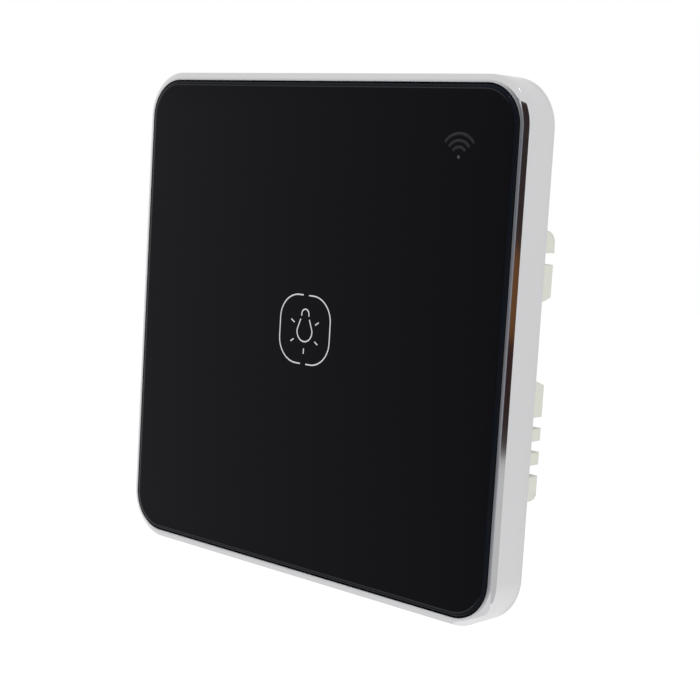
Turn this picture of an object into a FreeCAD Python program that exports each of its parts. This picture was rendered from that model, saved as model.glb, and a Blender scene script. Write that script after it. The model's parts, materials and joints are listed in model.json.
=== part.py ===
import FreeCAD, Part
import math
import os

import Sketcher

# Touch switch for a square flush wall box, in millimetres.
# X runs to the right seen from the front, Y runs into the wall, and Z runs up. The origin is the middle of
# the wall plane, midway between the two wall box screws. Places in front of the wall are heights above it,
# and places behind it are negative heights.

SIZES = {
    # Metal frame round the glass
    "plate_width": 86.0,
    "plate_corner": 8.0,
    "land_width": 0.5,
    "bevel_width": 0.85,
    "bevel_depth": 0.65,
    "ledge_width": 2.5,
    "ledge_thickness": 1.2,
    "notch_width": 12.0,
    "notch_height": 1.0,
    # Glass and its tape
    "glass_thickness": 3.0,
    "glass_rise": 0.35,
    "glass_gap": 0.05,
    "glass_edge": 1.1,
    "tape_thickness": 0.25,
    "tape_width": 4.6,
    # Carrier plate behind the glass
    "carrier_thickness": 1.2,
    "carrier_gap": 0.2,
    "carrier_rim": 2.0,
    "carrier_rib": 1.2,
    "rib_spacing": 34.0,
    "spring_window": 4.3,
    "head_window_width": 12.6,
    "head_window_height": 8.4,
    # Small countersunk screws into the frame's ledge
    "carrier_screw_radius": 0.7,
    "carrier_head_radius": 1.0,
    "carrier_head_height": 0.6,
    "carrier_screw_length": 2.0,
    "carrier_screw_spacing": 56.0,
    "carrier_screw_inset": 1.5,
    # Snap arms
    "panel_gap": 0.3,
    "arm_length": 14.6,
    "arm_width": 1.0,
    "arm_room": 1.2,
    "arm_spacing": 36.0,
    "arm_inset": 2.75,
    "hook_width": 5.0,
    "hook_catch": 0.6,
    "hook_height": 0.65,
    "hook_gap": 0.1,
    # Outline and screw places that both circuit boards share
    "board_width": 44.6,
    "board_height": 50.6,
    "board_screw_inset": 2.9,
    # Touch board and what it carries
    "touch_board_thickness": 1.2,
    "board_screw_radius": 0.8,
    "board_head_radius": 1.7,
    "board_head_height": 1.1,
    "board_screw_bite": 1.1,
    "boss_width": 4.4,
    "spring_radius": 3.6,
    "spring_wire": 0.5,
    "spring_turns": 2,
    "guide_radius": 2.7,
    "guide_wall": 0.7,
    "guide_gap": 0.1,
    "led_length": 1.6,
    "led_width": 0.8,
    "led_height": 0.6,
    "led_spacing": 1.4,
    "module_width": 15.0,
    "module_height": 20.0,
    "module_thickness": 0.8,
    "module_inset": 6.3,
    "module_z": 8.0,
    "cup_size": 0.8,
    "cup_pitch": 1.5,
    "cup_count": 7,
    "shield_length": 12.4,
    "shield_margin": 0.8,
    "shield_height": 1.5,
    "chip_width": 3.9,
    "chip_length": 4.9,
    "chip_thickness": 1.3,
    "chip_inset": 10.3,
    "chip_z": 9.0,
    "lead_pitch": 1.27,
    "lead_width": 0.4,
    "lead_reach": 1.0,
    # Plug and socket between the boards
    "pin_pitch": 2.54,
    "pin_count": 8,
    "pin_width": 0.6,
    "pin_stub": 0.3,
    "plug_z": -17.0,
    "strip_width": 2.5,
    "strip_height": 1.0,
    "socket_gap": 0.3,
    "pin_clearance": 0.15,
    # Base plate on the wall
    "base_thickness": 1.5,
    "base_gap": 0.8,
    "mount_spacing": 60.3,
    "slot_radius": 2.1,
    "slot_length": 8.0,
    "tray_gap": 0.3,
    "tray_floor": 1.2,
    "collar_depth": 4.0,
    # Rear housing inside the wall box
    "housing_depth": 24.5,
    "housing_corner": 2.0,
    "housing_wall": 1.6,
    "housing_edge": 0.6,
    "board_gap": 0.6,
    "board_room": 1.6,
    "shelf_gap": 1.1,
    "shelf_height": 9.5,
    "shelf_step": 2.0,
    "lug_relief_height": 13.8,
    "lug_relief_depth": 3.5,
    "relief_flare": 0.9,
    "relief_flare_depth": 2.5,
    "vent_width": 2.0,
    "vent_pitch": 4.2,
    "vent_first": 14.2,
    "vent_length": 10.0,
    "vent_reach": 4.0,
    "vent_count": 3,
    "column_radius": 2.0,
    "column_inset": 3.0,
    "column_screw_radius": 1.0,
    "column_head_radius": 1.7,
    "column_head_height": 1.1,
    "column_screw_bite": 3.2,
    "screw_clearance": 0.1,
    # Power board
    "power_board_thickness": 1.6,
    "standoff_height": 1.0,
    "standoff_width": 4.8,
    "power_screw_radius": 0.9,
    "power_head_radius": 1.8,
    "power_head_height": 1.2,
    "power_screw_bite": 1.5,
    "solder_length": 0.6,
    # Parts on the power board. An inset runs from the board's nearest edge to the part.
    "moulded_edge": 0.6,
    "relay_width": 15.5,
    "relay_length": 19.0,
    "relay_room": 1.1,
    "relay_inset": 1.9,
    "relay_z": 3.6,
    "relay_skirt": 0.8,
    "relay_skirt_reach": 0.15,
    "transformer_width": 12.6,
    "transformer_length": 13.0,
    "transformer_height": 11.0,
    "transformer_inset": 3.0,
    "transformer_z": -7.0,
    "core_limb": 1.9,
    "core_width": 6.4,
    "bobbin_flange": 1.3,
    "winding_step": 1.2,
    "electrolytic_radius": 4.0,
    "electrolytic_height": 12.0,
    "electrolytic_inset": 1.8,
    "electrolytic_z": 9.4,
    "can_groove": 0.4,
    "can_groove_height": 1.4,
    "film_width": 6.0,
    "film_length": 13.0,
    "film_height": 11.0,
    "film_gap": 0.1,
    "film_z": 4.0,
    "fuse_radius": 4.2,
    "fuse_height": 7.6,
    "fuse_inset": 2.7,
    "fuse_z": -14.0,
    "varistor_radius": 4.5,
    "varistor_thickness": 3.6,
    "varistor_x": -4.0,
    "varistor_z": -11.0,
    "rectifier_width": 6.4,
    "rectifier_length": 8.4,
    "rectifier_height": 3.2,
    "rectifier_side_inset": 7.5,
    "rectifier_foot_inset": 0.5,
    "rectifier_lead_spacing": 5.1,
    "regulator_width": 6.5,
    "regulator_length": 3.5,
    "regulator_height": 1.6,
    "regulator_x": 1.0,
    "regulator_foot_inset": 1.6,
    "regulator_tab_pitch": 2.3,
    # Wire terminals
    "terminal_pitch": 7.62,
    "terminal_wall": 1.2,
    "terminal_floor": 0.8,
    "terminal_height": 9.6,
    "terminal_gap": 0.3,
    "cage_width": 5.9,
    "cage_length": 5.8,
    "cage_side": 0.75,
    "cage_jaw": 0.8,
    "cage_nut": 1.4,
    "cage_gap": 0.1,
    "clamp_rest": 0.4,
    "bar_thickness": 0.8,
    "bar_width": 4.0,
    "contact_pin_width": 1.2,
    "terminal_screw_radius": 1.5,
    "terminal_head_radius": 2.4,
    "terminal_head_height": 1.6,
    "thread_clearance": 0.05,
    "recess_width": 0.7,
    "recess_length": 3.2,
    "recess_depth": 0.9,
    "entry_size": 4.8,
    "entry_lead": 0.4,
    "driver_radius": 2.0,
}


class Length:
    """A size as a number, and as the sheet expression that the document is bound to."""

    def __init__(self, text, number):
        self.text = text
        self.number = number

    def joined(self, sign, other, number, swapped=False):
        left, right = (text(other), self.text) if swapped else (self.text, text(other))
        return Length(f"({left} {sign} {right})", number)

    def __add__(self, other):
        return self.joined("+", other, self.number + value(other))

    def __radd__(self, other):
        return self.joined("+", other, value(other) + self.number, swapped=True)

    def __sub__(self, other):
        return self.joined("-", other, self.number - value(other))

    def __rsub__(self, other):
        return self.joined("-", other, value(other) - self.number, swapped=True)

    def __mul__(self, other):
        return self.joined("*", other, self.number * value(other))

    def __rmul__(self, other):
        return self.joined("*", other, value(other) * self.number, swapped=True)

    def __truediv__(self, other):
        return self.joined("/", other, self.number / value(other))

    def __neg__(self):
        return Length(f"(0 - {self.text})", -self.number)


def text(size):
    return size.text if isinstance(size, Length) else repr(float(size))


def value(size):
    return size.number if isinstance(size, Length) else size


class Sizes:
    """The driving sizes, read as attributes."""

    def __init__(self, table):
        for name, number in table.items():
            setattr(self, name, Length(f"Sizes.{name}", number))


size = Sizes(SIZES)
doc = FreeCAD.newDocument("TouchSwitch")
sheet = doc.addObject("Spreadsheet::Sheet", "Sizes")
for row, (name, number) in enumerate(SIZES.items(), start=1):
    sheet.set(f"A{row}", name.replace("_", " "))
    sheet.set(f"B{row}", str(number))
    sheet.setAlias(f"B{row}", name)
doc.recompute()


# Outlines that a sketch can hold. Each returns a function that draws it.


def bind(thing, path, size_value):
    thing.setExpression(path, text(size_value))


def constrain(sketch, kind, places, size_value):
    """Adds one dimension to a sketch and binds it to the sheet."""
    index = sketch.addConstraint(Sketcher.Constraint(kind, *places, value(size_value)))
    bind(sketch, f"Constraints[{index}]", size_value)


def hold(sketch, geometry, point, x, y):
    """Fixes one point of a sketch by its two distances from the sketch's origin."""
    constrain(sketch, "DistanceX", (-1, 1, geometry, point), x)
    constrain(sketch, "DistanceY", (-1, 1, geometry, point), y)


def vector(x, y, z=0.0):
    return FreeCAD.Vector(value(x), value(y), value(z))


def polygon(*points):
    def draw(sketch):
        first = sketch.GeometryCount
        corners = [vector(x, y) for x, y in points]
        for start, end in zip(corners, corners[1:] + corners[:1]):
            sketch.addGeometry(Part.LineSegment(start, end), False)
        for step, (x, y) in enumerate(points):
            following = first + (step + 1) % len(points)
            sketch.addConstraint(Sketcher.Constraint("Coincident", first + step, 2, following, 1))
            hold(sketch, first + step, 1, x, y)

    return draw


def rectangle(width, height, x=0.0, y=0.0):
    left, right = x - width / 2, x + width / 2
    low, high = y - height / 2, y + height / 2
    return polygon((left, low), (right, low), (right, high), (left, high))


def span(left, right, low, high):
    return polygon((left, low), (right, low), (right, high), (left, high))


def circle(radius, x=0.0, y=0.0):
    def draw(sketch):
        first = sketch.addGeometry(Part.Circle(vector(x, y), vector(0, 0, 1), value(radius)), False)
        hold(sketch, first, 3, x, y)
        constrain(sketch, "Radius", (first,), radius)

    return draw


def arc_chain(sketch, centres, radius, quarters, start=0.0):
    """Arcs of so many quarter turns round the given centres, joined by tangent lines."""
    first = sketch.GeometryCount
    turned = quarters * math.pi / 2
    arcs, lines = [], []
    for step, (x, y) in enumerate(centres):
        begin = start + turned * step
        whole = Part.Circle(vector(x, y), vector(0, 0, 1), value(radius))
        arcs.append(Part.ArcOfCircle(whole, begin, begin + turned))
    for arc, following in zip(arcs, arcs[1:] + arcs[:1]):
        lines.append(Part.LineSegment(arc.EndPoint, following.StartPoint))
    for arc, line in zip(arcs, lines):
        sketch.addGeometry(arc, False)
        sketch.addGeometry(line, False)
    for step, (x, y) in enumerate(centres):
        arc = first + 2 * step
        following = first + (2 * step + 2) % (2 * len(centres))
        hold(sketch, arc, 3, x, y)
        constrain(sketch, "Radius", (arc,), radius)
        sketch.addConstraint(Sketcher.Constraint("Tangent", arc, 2, arc + 1, 1))
        sketch.addConstraint(Sketcher.Constraint("Tangent", arc + 1, 2, following, 1))


def rounded(width, height, radius, x=0.0, y=0.0):
    right, left = x + width / 2 - radius, x - width / 2 + radius
    high, low = y + height / 2 - radius, y - height / 2 + radius
    centres = ((right, high), (left, high), (left, low), (right, low))
    return lambda sketch: arc_chain(sketch, centres, radius, 1)


def slot(length, radius, x=0.0, y=0.0):
    right, left = x + length / 2 - radius, x - length / 2 + radius
    return lambda sketch: arc_chain(sketch, ((right, y), (left, y)), radius, 2, -math.pi / 2)


# Features of a body


def new_body(label):
    body = doc.addObject("PartDesign::Body", label)
    body.Label = label
    body.AllowCompound = True
    return body


def new_sketch(body, name, plane, offset, outlines):
    """A sketch on a plane of the body. XZ_Plane faces the front, so its offset is a height above the wall."""
    sketch = body.newObject("Sketcher::SketchObject", f"{name}Outline")
    support = next(feature for feature in body.Origin.OriginFeatures if feature.Role == plane)
    sketch.AttachmentSupport = (support, [""])
    sketch.MapMode = "FlatFace"
    bind(sketch, "AttachmentOffset.Base.z", offset)
    for draw in outlines:
        draw(sketch)
    return sketch


def pad(body, name, rear, thickness, *outlines, plane="XZ_Plane"):
    """Material from the height rear, thickness further towards the front."""
    sketch = new_sketch(body, name, plane, rear, outlines)
    feature = body.newObject("PartDesign::Pad", name)
    feature.Profile = (sketch, [""])
    bind(feature, "Length", thickness)
    return feature


def cut(body, name, front, depth, *outlines, plane="XZ_Plane"):
    """A pocket from the height front, depth towards the rear."""
    sketch = new_sketch(body, name, plane, front, outlines)
    feature = body.newObject("PartDesign::Pocket", name)
    feature.Profile = (sketch, [""])
    bind(feature, "Length", depth)
    return feature


def turn(body, name, *outlines):
    """A solid of revolution about the body's Y axis. Outlines give radius and place along Y."""
    sketch = new_sketch(body, name, "XY_Plane", 0.0, outlines)
    feature = body.newObject("PartDesign::Revolution", name)
    feature.Profile = (sketch, [""])
    feature.ReferenceAxis = (sketch, ["V_Axis"])
    feature.Angle = 360.0
    return feature


def row_of(body, name, features, axis, pitch, count, backwards=False):
    """The features again in a straight row."""
    feature = body.newObject("PartDesign::LinearPattern", name)
    feature.Originals = features
    support = next(item for item in body.Origin.OriginFeatures if item.Role == axis)
    feature.Direction = (support, [""])
    feature.Reversed = backwards
    feature.Occurrences = int(value(count))
    bind(feature, "Occurrences", count)
    bind(feature, "Length", pitch * (count - 1))
    body.Tip = feature
    return feature


def near(first, second):
    tolerance = 0.001
    return abs(value(first) - value(second)) < tolerance


def edges(body, test):
    """The names of the body's edges whose bounding boxes pass the test."""
    doc.recompute()
    shape = body.Tip.Shape
    return [f"Edge{number}" for number, edge in enumerate(shape.Edges, start=1) if test(edge.BoundBox)]


def dress(body, kind, name, amount, test):
    """A fillet or chamfer on the edges that pass the test."""
    chosen = edges(body, test)
    base = body.Tip
    feature = body.newObject(f"PartDesign::{kind}", name)
    feature.Base = (base, chosen)
    bind(feature, "Radius" if kind == "Fillet" else "Size", amount)
    return feature


def at_height(height):
    """A test for edges that lie in one plane, at a height above the wall."""
    return lambda box: near(box.YMin, -height) and near(box.YMax, -height)


def circles(radius, places):
    return [circle(radius, x, z) for x, _, z in places]


def squares(width, places):
    return [rectangle(width, width, x, z) for x, _, z in places]


def place(thing, x=0.0, y=0.0, z=0.0):
    for axis, amount in (("x", x), ("y", y), ("z", z)):
        bind(thing, f"Placement.Base.{axis}", amount)


def copies(label, master, places):
    """One node of like pieces: the master, shown again at each place."""
    links = []
    for number, (x, y, z) in enumerate(places, start=1):
        link = doc.addObject("App::Link", f"{label}_{number}")
        link.LinkedObject = master
        place(link, x, y, z)
        links.append(link)
    group = doc.addObject("Part::Compound", label)
    group.Links = links
    group.Label = label
    return group


nodes = []


def node(thing):
    """Marks a finished piece for export."""
    nodes.append(thing)
    return thing


# Places worked out from the driving sizes. Heights are above the wall plane.

frame_wall = size.land_width + size.bevel_width
frame_opening = size.plate_width - 2 * frame_wall
opening_corner = size.plate_corner - frame_wall
ledge_opening = frame_opening - 2 * size.ledge_width
ledge_corner = opening_corner - size.ledge_width

base_front = size.base_thickness
carrier_rear = base_front + size.panel_gap
ledge_rear = carrier_rear + size.carrier_thickness
ledge_front = ledge_rear + size.ledge_thickness
glass_rear = ledge_front + size.tape_thickness
glass_front = glass_rear + size.glass_thickness
frame_depth = glass_front - size.glass_rise

carrier_width = frame_opening - 2 * size.carrier_gap
carrier_corner = opening_corner - size.carrier_gap
rim_width = ledge_opening - 2 * size.carrier_gap
rim_corner = ledge_corner - size.carrier_gap
screw_line = frame_opening / 2 - size.carrier_screw_inset
base_width = frame_opening - 2 * size.base_gap
base_corner = opening_corner - size.base_gap

arm_reach = ledge_opening / 2 - size.arm_inset

board_right = size.board_width / 2
board_top = size.board_height / 2
board_screw_x = board_right - size.board_screw_inset
board_screw_z = board_top - size.board_screw_inset
touch_front = size.touch_board_thickness
tray_width = size.board_width + 2 * size.tray_gap
tray_height = size.board_height + 2 * size.tray_gap
module_x = board_right - size.module_inset - size.module_width / 2
chip_x = size.chip_inset + size.chip_width / 2 - board_right
tray_front = size.tray_floor - size.collar_depth
power_front = -(size.collar_depth + size.standoff_height)
power_rear = power_front - size.power_board_thickness

lug_waist = board_right + size.board_gap + size.housing_wall
housing_side = lug_waist + size.lug_relief_depth
housing_top = board_top + size.board_room + size.housing_wall
housing_base = -housing_top
shelf_side = board_right + size.shelf_gap + size.housing_wall
box_top = housing_top - size.shelf_height
column_x = housing_side - size.column_inset
column_high = box_top - size.column_radius
column_low = housing_base + size.column_radius
column_head = -(size.housing_depth - size.column_head_height)

# Places across the terminals, as distances behind the wall. The screw heads hang under the housing's shelf,
# and the clamp's opening and travel share the room between them and the power board.
shelf_depth = size.housing_depth - size.shelf_step
shelf_inner = shelf_depth - size.housing_wall
head_rear = shelf_inner - size.screw_clearance * 2
head_front = head_rear - size.terminal_head_height
block_front = -power_rear
cage_front = block_front + size.terminal_floor + size.cage_gap
wire_front = cage_front + size.cage_jaw
clamp_room = head_front - wire_front - size.bar_thickness - size.cage_nut - 2 * size.cage_gap
clamp_opening = (clamp_room + size.clamp_rest) / 2
bar_front = wire_front + clamp_opening
bar_rear = bar_front + size.bar_thickness
nut_front = bar_rear + size.cage_gap
nut_rear = nut_front + size.cage_nut
block_top = housing_top - size.housing_wall - size.terminal_gap
block_low = block_top - size.terminal_height
cavity_low = block_low + size.terminal_wall
leg_low = cavity_low + size.terminal_gap / 2
leg_high = leg_low + size.bar_thickness
cage_low = leg_high + size.terminal_gap
cage_high = cage_low + size.cage_length
screw_z = (cage_low + cage_high) / 2
poles = [size.terminal_pitch * step for step in (-1.5, -0.5, 0.5, 1.5)]
relay_x = size.relay_inset + size.relay_width / 2 - board_right
relay_height = size.housing_depth - size.housing_wall - size.relay_room - block_front
fuse_x = size.fuse_inset + size.fuse_radius - board_right
electrolytic_x = board_right - size.electrolytic_inset - size.electrolytic_radius
transformer_x = board_right - size.transformer_inset - size.transformer_width / 2
film_x = transformer_x - (size.transformer_width + size.film_width) / 2 - size.film_gap
rectifier_x = board_right - size.rectifier_side_inset - size.rectifier_width / 2
rectifier_z = size.rectifier_foot_inset + size.rectifier_length / 2 - board_top
regulator_z = size.regulator_foot_inset + size.regulator_length / 2 - board_top


def corner_places(x, z, y=0.0):
    return [(x, y, z), (-x, y, z), (-x, y, -z), (x, y, -z)]


def board_corners():
    return corner_places(board_screw_x, board_screw_z)


def board_screw_places():
    """Each board is screwed down at two opposite corners."""
    return board_corners()[::2]


# The panel


def make_frame():
    body = new_body("aluminium_frame")
    outer = rounded(size.plate_width, size.plate_width, size.plate_corner)
    pad(body, "Plate", 0.0, frame_depth, outer)
    cut(body, "RearPocket", ledge_rear, ledge_rear, rounded(frame_opening, frame_opening, opening_corner))
    cut(body, "LedgeOpening", frame_depth, frame_depth, rounded(ledge_opening, ledge_opening, ledge_corner))
    seat = rounded(frame_opening, frame_opening, opening_corner)
    cut(body, "GlassSeat", frame_depth, frame_depth - ledge_front, seat)

    def on_front_rim(box):
        outside = max(abs(box.XMin), abs(box.XMax), abs(box.ZMin), abs(box.ZMax))
        return at_height(frame_depth)(box) and near(outside, size.plate_width / 2)

    chosen = edges(body, on_front_rim)
    base = body.Tip
    bevel = body.newObject("PartDesign::Chamfer", "PolishedBevel")
    bevel.Base = (base, chosen)
    bevel.ChamferType = "Two distances"
    bevel.FlipDirection = True
    bind(bevel, "Size", size.bevel_width)
    bind(bevel, "Size2", size.bevel_depth)
    notch = rectangle(size.notch_width, 2 * frame_wall, 0.0, -size.plate_width / 2)
    cut(body, "PryNotch", size.notch_height, size.notch_height, notch)
    screws = circles(size.carrier_screw_radius + size.thread_clearance, carrier_screw_places())
    cut(body, "ScrewHoles", ledge_front, size.ledge_thickness, *screws)
    return body


def carrier_screw_places(y=0.0):
    """Two opposite corners of the frame's ledge."""
    return corner_places(screw_line, size.carrier_screw_spacing / 2, y)[::2]


def make_glass():
    body = new_body("glass_panel")
    width = frame_opening - 2 * size.glass_gap
    outline = rounded(width, width, opening_corner - size.glass_gap)
    pad(body, "Pane", glass_rear, size.glass_thickness, outline)
    dress(body, "Fillet", "RoundedEdge", size.glass_edge, at_height(glass_front))
    return body


def make_tape():
    body = new_body("bonding_tape")
    width = frame_opening - 2 * size.carrier_gap
    inner = width - 2 * size.tape_width
    ring = rounded(width, width, carrier_corner)
    pad(body, "Ring", ledge_front, size.tape_thickness, ring, rectangle(inner, inner))
    return body


def make_carrier():
    body = new_body("panel_carrier")
    outline = rounded(carrier_width, carrier_width, carrier_corner)
    pad(body, "Plate", carrier_rear, size.carrier_thickness, outline)
    rim_inner = rim_width - 2 * size.carrier_rim
    rim = rounded(rim_width, rim_width, rim_corner)
    pad(body, "Rim", ledge_rear, size.ledge_thickness, rim, rectangle(rim_inner, rim_inner))
    for name, place_across in (("Left", -size.rib_spacing / 2), ("Right", size.rib_spacing / 2)):
        upright = rectangle(size.carrier_rib, rim_inner, place_across, 0.0)
        pad(body, f"Upright{name}", ledge_rear, size.ledge_thickness, upright)
        across = rectangle(rim_inner, size.carrier_rib, 0.0, place_across)
        pad(body, f"Crossbar{name}", ledge_rear, size.ledge_thickness, across)
    collar = circle(size.spring_window + size.carrier_rib)
    pad(body, "WindowCollar", ledge_rear, size.ledge_thickness, collar)
    bosses = squares(size.boss_width, board_corners())
    pad(body, "BoardBosses", touch_front, ledge_front - touch_front, *bosses)
    through = ledge_front - carrier_rear
    cut(body, "SpringWindow", ledge_front, through, circle(size.spring_window))
    windows = [
        rectangle(size.head_window_width, size.head_window_height, x, 0.0)
        for x in (-size.mount_spacing / 2, size.mount_spacing / 2)
    ]
    cut(body, "ScrewHeadWindows", ledge_front, through, *windows)
    arm_slot = size.arm_width + 2 * size.arm_room
    slots = [rectangle(size.arm_length, arm_slot, x, z) for x, _, z in arm_places()]
    cut(body, "ArmSlots", ledge_front, through, *slots)
    pilots = circles(size.board_screw_radius + size.thread_clearance, board_screw_places())
    pilot_depth = carrier_rear + size.board_screw_bite + size.screw_clearance - touch_front
    cut(body, "BoardPilots", touch_front + pilot_depth, pilot_depth, *pilots)
    clear = circles(size.carrier_screw_radius + size.screw_clearance, carrier_screw_places())
    cut(body, "CarrierScrewHoles", ledge_rear, size.carrier_thickness, *clear)
    sinks = circles(size.carrier_head_radius + size.screw_clearance, carrier_screw_places())
    sink_front = carrier_rear + size.carrier_head_height + size.screw_clearance
    cut(body, "CarrierScrewSinks", sink_front, size.carrier_head_height + size.screw_clearance, *sinks)
    return body


def make_carrier_screws():
    master = new_body("carrier_screw_master")
    shank = size.carrier_screw_radius
    head = size.carrier_head_radius
    length = size.carrier_screw_length
    seat = -size.carrier_head_height
    profile = polygon((0.0, 0.0), (head, 0.0), (shank, seat), (shank, -length), (0.0, -length))
    turn(master, "Screw", profile)
    return copies("carrier_screws", master, carrier_screw_places(-carrier_rear))


def arm_places(y=0.0):
    return corner_places(size.arm_spacing / 2, arm_reach, y)


def make_snap_arms():
    body = new_body("snap_arms")
    half = size.arm_width / 2
    beams, stems, hooks = [], [], []
    for x, _, z in arm_places():
        outward = 1 if value(z) > 0 else -1
        beams.append(rectangle(size.arm_length, size.arm_width, x, z))
        stems.append(rectangle(size.hook_width, size.arm_width, x, z))
        outer = z + outward * (half + size.hook_catch)
        inner = z - outward * half
        low, high = (inner, outer) if outward > 0 else (outer, inner)
        hooks.append(span(x - size.hook_width / 2, x + size.hook_width / 2, low, high))
    pad(body, "Beams", carrier_rear, size.carrier_thickness, *beams)
    pad(body, "Stems", size.hook_gap, carrier_rear - size.hook_gap, *stems)
    pad(body, "Hooks", size.hook_gap, size.hook_height, *hooks)
    return body


def make_touch_board():
    body = new_body("touch_board")
    outline = rectangle(size.board_width, size.board_height)
    pad(body, "Board", 0.0, size.touch_board_thickness, outline)
    holes = circles(size.board_screw_radius + size.screw_clearance, board_screw_places())
    pin_hole = size.pin_width + 2 * size.pin_clearance
    holes += [rectangle(pin_hole, pin_hole, x, size.plug_z) for x in pin_places()]
    cut(body, "Holes", touch_front, size.touch_board_thickness, *holes)
    return body


def pin_places():
    middle = (size.pin_count - 1) / 2
    return [size.pin_pitch * (step - middle) for step in range(int(value(size.pin_count)))]


def make_board_screws():
    master = new_body("board_screw_master")
    shank = size.board_screw_radius
    head = size.board_head_radius
    tip = carrier_rear + size.board_screw_bite
    end = size.board_head_height
    profile = polygon((0.0, end), (head, end), (head, 0.0), (shank, 0.0), (shank, -tip), (0.0, -tip))
    turn(master, "Screw", profile)
    return copies("board_screws", master, board_screw_places())


def make_spring():
    """The touch spring, wound from half turns of six-sided wire."""
    radius = value(size.spring_radius)
    wire = value(size.spring_wire)
    half_turns = 2 * int(value(size.spring_turns)) + 1
    low = value(touch_front) + wire / 2
    high = value(glass_rear) - wire / 2
    climb = (high - low) / half_turns
    points = []
    for step in range(half_turns + 1):
        side = 1 if step % 2 == 0 else -1
        points.append(FreeCAD.Vector(side * radius, -(low + climb * step), 0.0))
    path = []
    for step, (start, end) in enumerate(zip(points, points[1:])):
        side = 1 if step % 2 == 0 else -1
        middle = FreeCAD.Vector(0.0, (start.y + end.y) / 2, side * radius)
        path.append(Part.Arc(start, middle, end).toShape())
    sides = 6
    around = [2 * math.pi * step / sides for step in range(sides + 1)]
    section = [
        points[0] + FreeCAD.Vector(math.cos(angle) * wire / 2, math.sin(angle) * wire / 2, 0.0)
        for angle in around
    ]
    profile = Part.makePolygon(section)
    spring = doc.addObject("Part::Feature", "touch_spring")
    spring.Label = "touch_spring"
    spring.Shape = Part.Wire(path).makePipeShell([profile], True, False)
    return spring


def make_light_guide():
    body = new_body("light_guide")
    outer = size.guide_radius
    inner = outer - size.guide_wall
    roof = touch_front + size.led_height + size.guide_gap * 2
    top = glass_rear - size.guide_gap
    foot = -touch_front
    profile = polygon(
        (0.0, -top), (outer, -top), (outer, foot), (inner, foot), (inner, -roof), (0.0, -roof),
    )
    turn(body, "Guide", profile)
    return body


def make_leds():
    body = new_body("indicator_leds")
    half = size.led_spacing / 2
    chips = [rectangle(size.led_length, size.led_width, 0.0, z) for z in (-half, half)]
    pad(body, "Chips", touch_front, size.led_height, *chips)
    return body


def make_module():
    body = new_body("wireless_module")
    outline = rectangle(size.module_width, size.module_height, module_x, size.module_z)
    pad(body, "Board", -size.module_thickness, size.module_thickness, outline)
    low = size.module_z - size.module_height / 2
    cups = []
    for edge in (module_x - size.module_width / 2, module_x + size.module_width / 2):
        for step in range(1, int(value(size.cup_count)) + 1):
            cups.append(rectangle(size.cup_size, size.cup_size, edge, low + size.cup_pitch * step))
    cut(body, "SolderCups", 0.0, size.module_thickness, *cups)
    return body


def make_shield():
    body = new_body("module_shield")
    width = size.module_width - 2 * size.shield_margin
    z = size.module_z - size.module_height / 2 + size.shield_margin + size.shield_length / 2
    rear = -(size.module_thickness + size.shield_height)
    pad(body, "Can", rear, size.shield_height, rectangle(width, size.shield_length, module_x, z))
    dress(body, "Chamfer", "Softened", size.lead_width, at_height(rear))
    return body


def make_chip():
    body = new_body("touch_chip")
    seat = size.lead_width / 2
    rear = -(size.chip_thickness + seat)
    package = rectangle(size.chip_width, size.chip_length, chip_x, size.chip_z)
    pad(body, "Package", rear, size.chip_thickness, package)
    dress(body, "Chamfer", "Draft", seat, at_height(rear))
    feet, arms = [], []
    for side in (-1, 1):
        edge = chip_x + side * size.chip_width / 2
        far = edge + side * size.lead_reach
        step_out = edge + side * size.lead_reach / 2
        left, right = (edge, step_out) if side > 0 else (step_out, edge)
        foot_left, foot_right = (step_out, far) if side > 0 else (far, step_out)
        for step in (-1.5, -0.5, 0.5, 1.5):
            z = size.chip_z + size.lead_pitch * step
            low, high = z - size.lead_width / 2, z + size.lead_width / 2
            arms.append(span(left, right, low, high))
            feet.append(span(foot_left, foot_right, low, high))
    middle = size.chip_thickness / 2
    pad(body, "LeadArms", -(middle + seat), seat, *arms)
    pad(body, "LeadFeet", -(middle + seat), middle + seat, *feet)
    return body


def make_pin_strip():
    body = new_body("pin_strip")
    length = size.pin_pitch * size.pin_count
    strip = rectangle(length, size.strip_width, 0.0, size.plug_z)
    pad(body, "Strip", -size.strip_height, size.strip_height, strip)
    holes = [rectangle(size.pin_width, size.pin_width, x, size.plug_z) for x in pin_places()]
    cut(body, "PinHoles", 0.0, size.strip_height, *holes)
    return body


def make_header_pins():
    body = new_body("header_pins")
    rear = power_front + size.pin_clearance * 2
    front = touch_front + size.pin_stub
    pins = [rectangle(size.pin_width, size.pin_width, x, size.plug_z) for x in pin_places()]
    pad(body, "Pins", rear, front - rear, *pins)
    return body


# The base


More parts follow.
